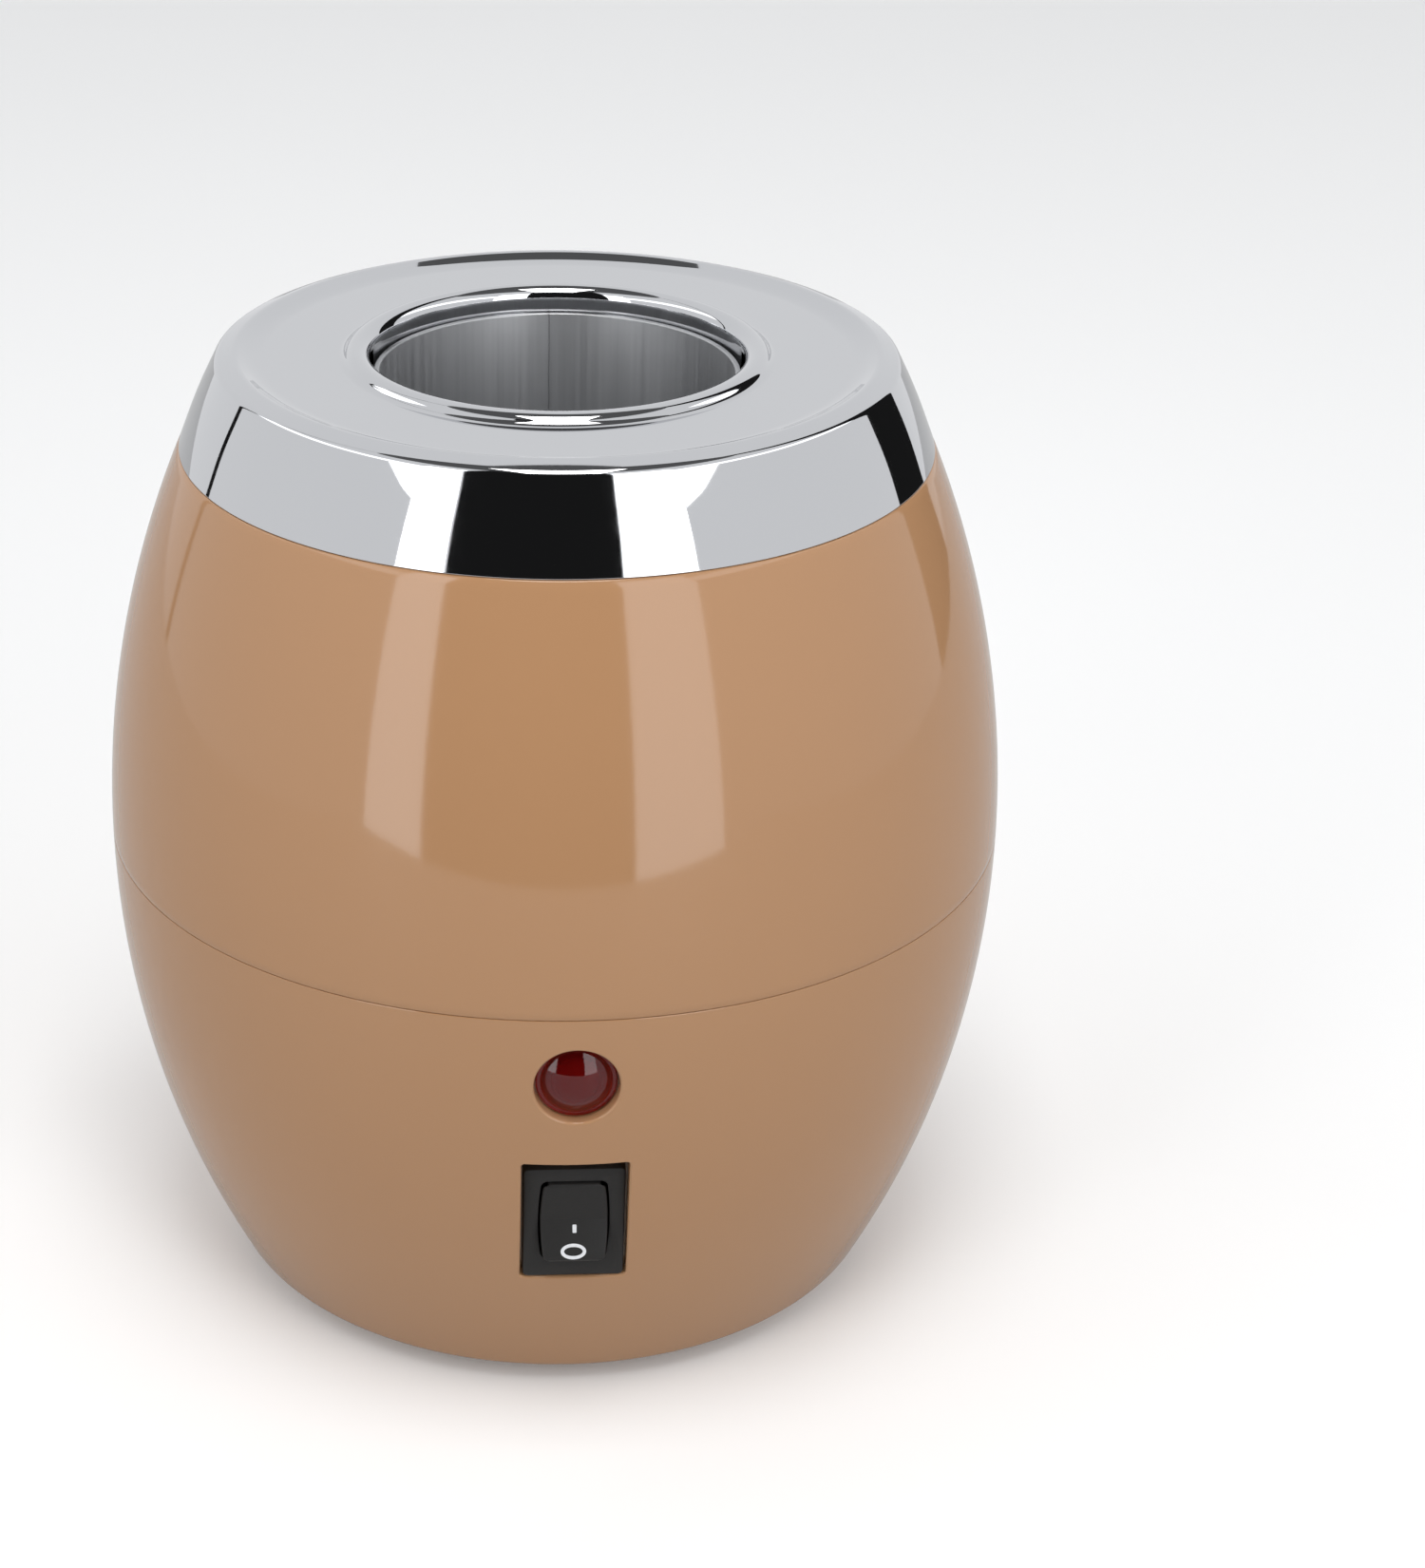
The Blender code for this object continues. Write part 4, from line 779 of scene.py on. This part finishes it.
def make_housing():
    """Bezel with chamfered edges and a bowed window, and the hollow body behind it."""
    half_width, half_height = BEZEL_WIDTH / 2 + BEZEL_SPREAD[0], BEZEL_HEIGHT / 2 + BEZEL_SPREAD[1]
    corner, chamfer = 0.7 * MM, 0.35 * MM
    body_width, body_height, body_depth = 6.45 * MM, 9.6 * MM, 14.5 * MM
    window_width, window_height, bow = 4.85 * MM, 7.55 * MM, 0.5 * MM
    window_corner, lip, cavity = 0.9 * MM, 0.15 * MM, 12.0 * MM
    back = BEZEL_THICKNESS

    def bezel(inset):
        return round_rect(half_width - inset, half_height - inset, corner, centre_rise=-BEZEL_DROP)

    def window(grow):
        return round_rect(window_width + grow, window_height + grow, window_corner + grow, bow)

    rings = [
        at_depth(round_rect(body_width, body_height, 0.4 * MM), body_depth),
        at_depth(round_rect(body_width, body_height, 0.4 * MM), back),
        at_depth(bezel(0.0), back),
        at_depth(bezel(0.0), chamfer),
        at_depth(bezel(0.3 * chamfer), 0.3 * chamfer),
        at_depth(bezel(chamfer), 0.0),
        at_depth(window(lip), 0.0),
        at_depth(window(0.3 * lip), 0.3 * lip),
        at_depth(window(0.0), lip),
        at_depth(window(0.0), cavity),
    ]
    loft("switch_housing_skin", rings, "switch_housing", switch_place, sharp=40.0)


ROCKER_RADIUS = 7.35 * MM
ROCKER_HALF_WIDTH = 4.57 * MM   # at its ends; the sides bow out in the middle
ROCKER_BOW = 0.5 * MM
corner_angle = math.asin((PIVOT_DEPTH + GAP) / ROCKER_RADIUS) + ROCKER_HALF_TRAVEL
ROCKER_CORNER = (-ROCKER_RADIUS * math.sin(corner_angle), ROCKER_RADIUS * math.cos(corner_angle))
ROCKER_CREASE = ROCKER_CORNER[0] + ROCKER_CORNER[1] * math.tan(ROCKER_HALF_TRAVEL)


def make_rocker():
    """Rocker with two faces meeting in a crease, bowed sides and rounded edges."""
    low_angle = -math.radians(10.0)
    upper = []
    for i in range(6):
        angle = low_angle + (corner_angle - low_angle) * i / 6
        upper.append((-ROCKER_RADIUS * math.sin(angle), ROCKER_RADIUS * math.cos(angle), 0))
    upper.append((*ROCKER_CORNER, 0.45 * MM))
    for i in range(1, 8):
        share = i / 8
        depth = ROCKER_CORNER[0] + (ROCKER_CREASE - ROCKER_CORNER[0]) * share
        upper.append((depth, ROCKER_CORNER[1] * (1 - share), 0))
    lower = [(depth, -height, radius) for depth, height, radius in upper[::-1]]
    side_view = [Vector(point) for point in rounded([*upper, (ROCKER_CREASE, 0, 0.5 * MM), *lower], 5, False)]
    edge, deep, corner = 0.3 * MM, 1.2 * MM, 0.8 * MM
    rings = []
    for i, point in enumerate(side_view):
        before = side_view[max(i - 1, 0)]
        after = side_view[min(i + 1, len(side_view) - 1)]
        along = (after - before).normalized()
        outward = Vector((along.y, -along.x))
        if outward.dot(point) < 0:
            outward = -outward
        share = min(abs(point.y) / ROCKER_CORNER[1], 1.0)
        half_width = ROCKER_HALF_WIDTH + ROCKER_BOW * (1 - share * share)
        into_corner = (abs(point.y) - (ROCKER_CORNER[1] - corner)) / corner
        if into_corner > 0:
            half_width -= corner * (1 - math.sqrt(max(0.0, 1 - min(into_corner, 1.0) ** 2))) * 0.8
        core = point * (1 - deep / point.length)
        right = [(half_width, *core)]
        for k in range(5):
            angle = math.pi / 2 * k / 4
            sunk = point - outward * edge * (1 - math.sin(angle))
            right.append((half_width - edge * (1 - math.cos(angle)), *sunk))
        left = [(-across, depth, height) for across, depth, height in right[::-1]]
        rings.append(right + left)
    loft("switch_rocker_skin", rings, "switch_rocker", rocker_place, sharp=50.0)


def face_point(across, down):
    """A point just above the rocker's lower face, measured from the crease."""
    slope = ROCKER_HALF_TRAVEL
    lift = 0.02 * MM
    depth = ROCKER_CREASE - down * math.sin(slope) - lift * math.cos(slope)
    return Vector((across, depth, -down * math.cos(slope) + lift * math.sin(slope)))


def make_marks():
    """The line and the ring printed on the rocker, as thin raised pads."""
    thick = Vector((0, 0.035 * MM, 0))
    bar = round_rect(0.30 * MM, 0.65 * MM, 0.12 * MM, corner_steps=3, side_steps=2)
    top = [face_point(0.08 * MM + p.x, 1.50 * MM - p.y) for p in bar]
    rings = [top, [point + thick for point in top]]
    as_print = {"material": PRINT, "replace": False, "slot_name": "white_plastic"}
    loft("mark_line", rings, "switch_rocker", rocker_place, **as_print)

    centre_down, half_wide, half_tall, stroke, count = 5.10 * MM, 1.92 * MM, 1.24 * MM, 0.52 * MM, 64
    shape = bmesh.new()
    loops = []
    for wide, tall, sunk in (
        (half_wide, half_tall, False),
        (half_wide, half_tall, True),
        (half_wide - stroke, half_tall - stroke, True),
        (half_wide - stroke, half_tall - stroke, False),
    ):
        loop = []
        for i in range(count):
            angle = math.tau * i / count
            point = face_point(wide * math.cos(angle) - 0.1 * MM, centre_down - tall * math.sin(angle))
            loop.append(shape.verts.new(rocker_place @ (point + (thick if sunk else Vector()))))
        loops.append(loop)
    for first, second in zip(loops, loops[1:] + loops[:1]):
        for i in range(count):
            j = (i + 1) % count
            shape.faces.new([first[i], first[j], second[j], second[i]])
    bmesh.ops.recalc_face_normals(shape, faces=shape.faces)
    mesh = bpy.data.meshes.new("mark_ring")
    shape.to_mesh(mesh)
    shape.free()
    finish_piece("mark_ring", mesh, "switch_rocker", **as_print)


def make_lamp():
    """Pilot lens: a clear red cap with a bevelled rim, over a dark disc with a fine ring; the disc is painted
    shade, a dark sheet that stands for the shade inside the lamp.
    """
    seat = facing_front(Vector((0, LAMP_SEAT_Y, LAMP_CENTRE.z)))
    cap_wall, face, dome_radius, dome_edge = 0.9 * MM, 2.6 * MM, 8.9 * MM, 5.2 * MM
    dome = []
    for i in range(17):
        tilt = math.asin(dome_edge / dome_radius) * i / 16
        dome.append((dome_radius * math.sin(tilt), face - dome_radius * (1 - math.cos(tilt)), 0))
    flange = dome[-1][1] - 0.12 * MM
    outline = rounded(
        [
            *dome,
            (dome_edge + 0.12 * MM, flange, 0),
            (LENS_RADIUS, flange, 0.35 * MM),
            (LENS_RADIUS, GAP, 0.1 * MM),
            (LENS_RADIUS - cap_wall, GAP, 0.1 * MM),
            (LENS_RADIUS - cap_wall, 0.75 * MM, 0.2 * MM),
            (3.6 * MM, 0.95 * MM, 0),
            (0, 1.0 * MM, 0),
        ],
        closed=False,
    )
    lathe("lamp_lens_skin", outline, "lamp_lens", closed=False, place=seat, sharp=25.0)
    inside = LENS_RADIUS - cap_wall - 0.15 * MM
    disc = rounded(
        [
            (0, 0.62 * MM, 0),
            (3.1 * MM, 0.62 * MM, 0),
            (3.2 * MM, 0.82 * MM, 0.05 * MM),
            (3.5 * MM, 0.82 * MM, 0.05 * MM),
            (3.6 * MM, 0.62 * MM, 0),
            (inside, 0.58 * MM, 0.05 * MM),
            (inside, 0.35 * MM, 0),
            (0, 0.35 * MM, 0),
        ],
        closed=False,
    )
    # The dark disc is painted shade: it stands for the shade inside the lamp behind the lens.
    lathe("lamp_shade_disc", disc, "lamp_lens", closed=False, place=seat, material=LAMP_SHADE, replace=False)


def make_gland():
    """Cord gland with a rounded, gripped flange and a smooth bore."""
    front = gland_high.y - (GLAND_SEAT_Y + GAP)
    back = gland_low.y - (GLAND_SEAT_Y + GAP)
    place = Matrix.Translation((0, GLAND_SEAT_Y + GAP, GLAND_CENTRE_Z))
    place = place @ Matrix.Rotation(-math.pi / 2, 4, "X")
    outline = rounded(
        [
            (GLAND_BORE, front, 0.6 * MM),
            (GLAND_FLANGE - 1.6 * MM, front, 0.5 * MM),
            (GLAND_FLANGE, front - 1.2 * MM, 0.5 * MM),
            (GLAND_FLANGE, 0, 0.1 * MM),
            (4.5 * MM, 0, 0),
            (4.5 * MM, back, 0.2 * MM),
            (GLAND_BORE, back, 0.2 * MM),
        ]
    )
    lathe("cord_gland_skin", outline, "cord_gland", place=place)


def make_feet():
    """Rubber feet with rounded edges."""
    for index in range(1, 5):
        name = f"rubber_foot_{index}"
        low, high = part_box(name)
        radius = (high.x - low.x) / 2
        outline = rounded(
            [
                (0, high.z, 0),
                (radius, high.z, 0.1 * MM),
                (radius, 0.4 * MM, 0.5 * MM),
                (radius - 0.7 * MM, 0, 0.5 * MM),
                (0, 0, 0),
            ],
            closed=False,
        )
        centre = Vector(((low.x + high.x) / 2, (low.y + high.y) / 2, 0))
        lathe(name + "_skin", outline, name, 64, closed=False, place=Matrix.Translation(centre))


make_upper_shell()
make_top_cap()
make_lower_shell()
make_well()
make_housing()
make_rocker()
make_marks()
make_lamp()
make_gland()
make_feet()

# ---------------------------------------------------------------- floor, light and camera
floor_mesh = bpy.data.meshes.new("studio_floor")
FLOOR_FRONT, FLOOR_BACK, FLOOR_SIDE = -0.50, 1.45, 0.60
floor_mesh.from_pydata(
    [
        (-FLOOR_SIDE, FLOOR_FRONT, 0),
        (FLOOR_SIDE, FLOOR_FRONT, 0),
        (FLOOR_SIDE, FLOOR_BACK, 0),
        (-FLOOR_SIDE, FLOOR_BACK, 0),
    ],
    [],
    [(0, 1, 2, 3)],
)
studio_floor = bpy.data.objects.new("studio_floor", floor_mesh)
bpy.context.scene.collection.objects.link(studio_floor)
floor_material, floor_tree, floor_shader, floor_place = new_material("pale_floor", (0.86, 0.86, 0.86), 0.6)
floor_tone = noise(floor_tree, floor_place, 3.0, 2.0)
# The camera sees a paler floor than the pot does, so that little light comes up from below.
FLOOR_BOUNCE, FLOOR_GLOW = 0.50, 0.10
floor_bounce = floor_tree.nodes.new("ShaderNodeMix")
floor_bounce.data_type = "RGBA"
floor_seen = floor_tree.nodes.new("ShaderNodeLightPath")
floor_bounce.inputs[6].default_value = (FLOOR_BOUNCE, FLOOR_BOUNCE, FLOOR_BOUNCE, 1.0)
floor_tree.links.new(floor_seen.outputs["Is Camera Ray"], floor_bounce.inputs[0])
floor_tree.links.new(
    two_tone(floor_tree, floor_tone, (0.86, 0.86, 0.86), (0.88, 0.88, 0.88)), floor_bounce.inputs[7]
)
floor_tree.links.new(floor_bounce.outputs[2], floor_shader.inputs["Base Color"])
floor_shader.inputs["Emission Color"].default_value = (1.0, 1.0, 1.0, 1.0)
floor_shader.inputs["Emission Strength"].default_value = FLOOR_GLOW
floor_mesh.materials.append(floor_material)

world = bpy.data.worlds.new("studio")
world.use_nodes = True
bpy.context.scene.world = world
sky = world.node_tree
CAMERA_SIDE = math.radians(2.85)


def sky_math(operation, *values):
    """A math node in the studio's sky; gives its output."""
    node = sky.nodes.new("ShaderNodeMath")
    node.operation = operation
    for index, value in enumerate(values):
        if isinstance(value, (int, float)):
            node.inputs[index].default_value = value
        else:
            sky.links.new(value, node.inputs[index])
    return node.outputs["Value"]


sky_place = sky.nodes.new("ShaderNodeTexCoord")
sky_split = sky.nodes.new("ShaderNodeSeparateXYZ")
sky.links.new(sky_place.outputs["Generated"], sky_split.inputs["Vector"])
sky_x, sky_y, sky_z = (sky_split.outputs[axis] for axis in "XYZ")
bearing = sky_math("ARCTAN2", sky_x, sky_math("MULTIPLY", sky_y, -1.0))
bearing = sky_math("DEGREES", sky_math("ADD", bearing, CAMERA_SIDE))
rise = sky_math("DEGREES", sky_math("ARCSINE", sky_z))


def sky_field(middle, half_width, low, high):
    """1 inside a window of bearings round the pot (0 is the camera's side) and of heights."""
    turn = sky_math("ABSOLUTE", sky_math("WRAP", sky_math("SUBTRACT", bearing, middle), 180.0, -180.0))
    across = sky_math("LESS_THAN", turn, half_width)
    level = sky_math("ABSOLUTE", sky_math("SUBTRACT", rise, (low + high) / 2))
    return sky_math("MULTIPLY", across, sky_math("LESS_THAN", level, (high - low) / 2))


ROOM = 0.84                     # brightness of the room's pale walls
# How dark, middle bearing, half width, lowest and highest elevation, in degrees.
DARK_FIELDS = [
    (1.0, -6.35, 25.55, -60.0, 60.0),       # the dark end of the room, behind the camera
    (1.0, 128.5, 9.5, -60.0, 60.0),         # doorway at the right
    (1.0, -123.0, 1.0, -60.0, 60.0),        # joint between the left-hand walls
    (0.88, 0.0, 181.0, 60.0, 91.0),         # ceiling
]
room_light = ROOM
for darkness, *field in DARK_FIELDS:
    kept = sky_math("SUBTRACT", 1.0, sky_math("MULTIPLY", sky_field(*field), darkness))
    room_light = sky_math("MULTIPLY", room_light, kept)
STRAY_LIGHT = 0.012             # what is left in the dark fields
room_light = sky_math("ADD", room_light, STRAY_LIGHT)
room = sky.nodes.new("ShaderNodeBackground")
room.inputs["Color"].default_value = (0.975, 0.985, 1.0, 1.0)
sky.links.new(room_light, room.inputs["Strength"])
backdrop = sky.nodes["Background"]
backdrop.inputs["Color"].default_value = (1.0, 1.0, 1.0, 1.0)
seen = sky.nodes.new("ShaderNodeLightPath")
choose = sky.nodes.new("ShaderNodeMixShader")
sky.links.new(seen.outputs["Is Camera Ray"], choose.inputs[0])
sky.links.new(room.outputs["Background"], choose.inputs[1])
sky.links.new(backdrop.outputs["Background"], choose.inputs[2])
sky.links.new(choose.outputs["Shader"], sky.nodes["World Output"].inputs["Surface"])


def softbox(name, centre, target, width, height, radiance, colour=(1, 1, 1)):
    """A rectangular soft light that faces its target; its power follows from its brightness."""
    lamp = bpy.data.lights.new(name, "AREA")
    lamp.shape = "RECTANGLE"
    lamp.size = width
    lamp.size_y = height
    lamp.energy = radiance * math.pi * width * height
    lamp.color = colour
    holder = bpy.data.objects.new(name, lamp)
    bpy.context.scene.collection.objects.link(holder)
    aim = Vector(target) - Vector(centre)
    holder.location = centre
    holder.rotation_euler = aim.to_track_quat("-Z", "Y").to_euler()
    holder.visible_camera = False
    return holder


def round_the_pot(degrees, distance, height):
    """A point at an angle from the camera's side of the pot; positive is to the right."""
    angle = math.radians(degrees) - CAMERA_SIDE
    return Vector((distance * math.sin(angle), -distance * math.cos(angle), height))


CAMERA_DISTANCE = 6.9142 * BODY_RADIUS
CAMERA_HEIGHT = 4.4163 * BODY_RADIUS + 3.5 * MM
CAMERA_PITCH = math.radians(25.857)
CAMERA_ROLL = math.radians(0.333)

WARM, COOL = (1.0, 0.995, 0.985), (0.975, 0.985, 1.0)


def wall_panel(name, start, end, low, high, radiance, distance=1.5, colour=COOL):
    """An upright soft panel that spans two angles round the pot, between two heights."""
    middle, half = (start + end) / 2, math.radians(end - start) / 2
    level = (low + high) / 2
    width = 2 * distance * math.tan(half)
    centre = round_the_pot(middle, distance, level)
    softbox(name, centre, (0, 0, level), width, high - low, radiance, colour)


LOW, WALL_TOP, GLOW_TOP = -0.35, 1.02, 1.45
wall_panel("strip_left", -46.3, -31.9, LOW, GLOW_TOP, 2.6)
wall_panel("strip_right", 19.2, 40.8, LOW, GLOW_TOP, 2.2)
wall_panel("glow_left", -122.0, -46.6, WALL_TOP, GLOW_TOP, 1.4)
wall_panel("glow_right", 41.2, 119.0, WALL_TOP, GLOW_TOP, 1.4)
softbox("overhead", (0, -0.5, 1.35), (0, -0.5, 0), 0.5, 0.9, 7.0, WARM)

camera_data = bpy.data.cameras.new("camera")
camera_data.lens = 3553.9 / 1650 * 36
camera_data.sensor_width = 36
camera_data.shift_x = (750 - 584.06) / 1650
camera_data.clip_start = 0.01
camera = bpy.data.objects.new("camera", camera_data)
bpy.context.scene.collection.objects.link(camera)
camera.location = (
    -CAMERA_DISTANCE * math.sin(CAMERA_SIDE),
    -CAMERA_DISTANCE * math.cos(CAMERA_SIDE),
    CAMERA_HEIGHT,
)
camera.rotation_euler = (
    Matrix.Rotation(-CAMERA_SIDE, 3, "Z")
    @ Matrix.Rotation(math.pi / 2 - CAMERA_PITCH, 3, "X")
    @ Matrix.Rotation(CAMERA_ROLL, 3, "Z")
).to_euler()
bpy.context.scene.camera = camera
bpy.context.scene.view_settings.view_transform = "Standard"
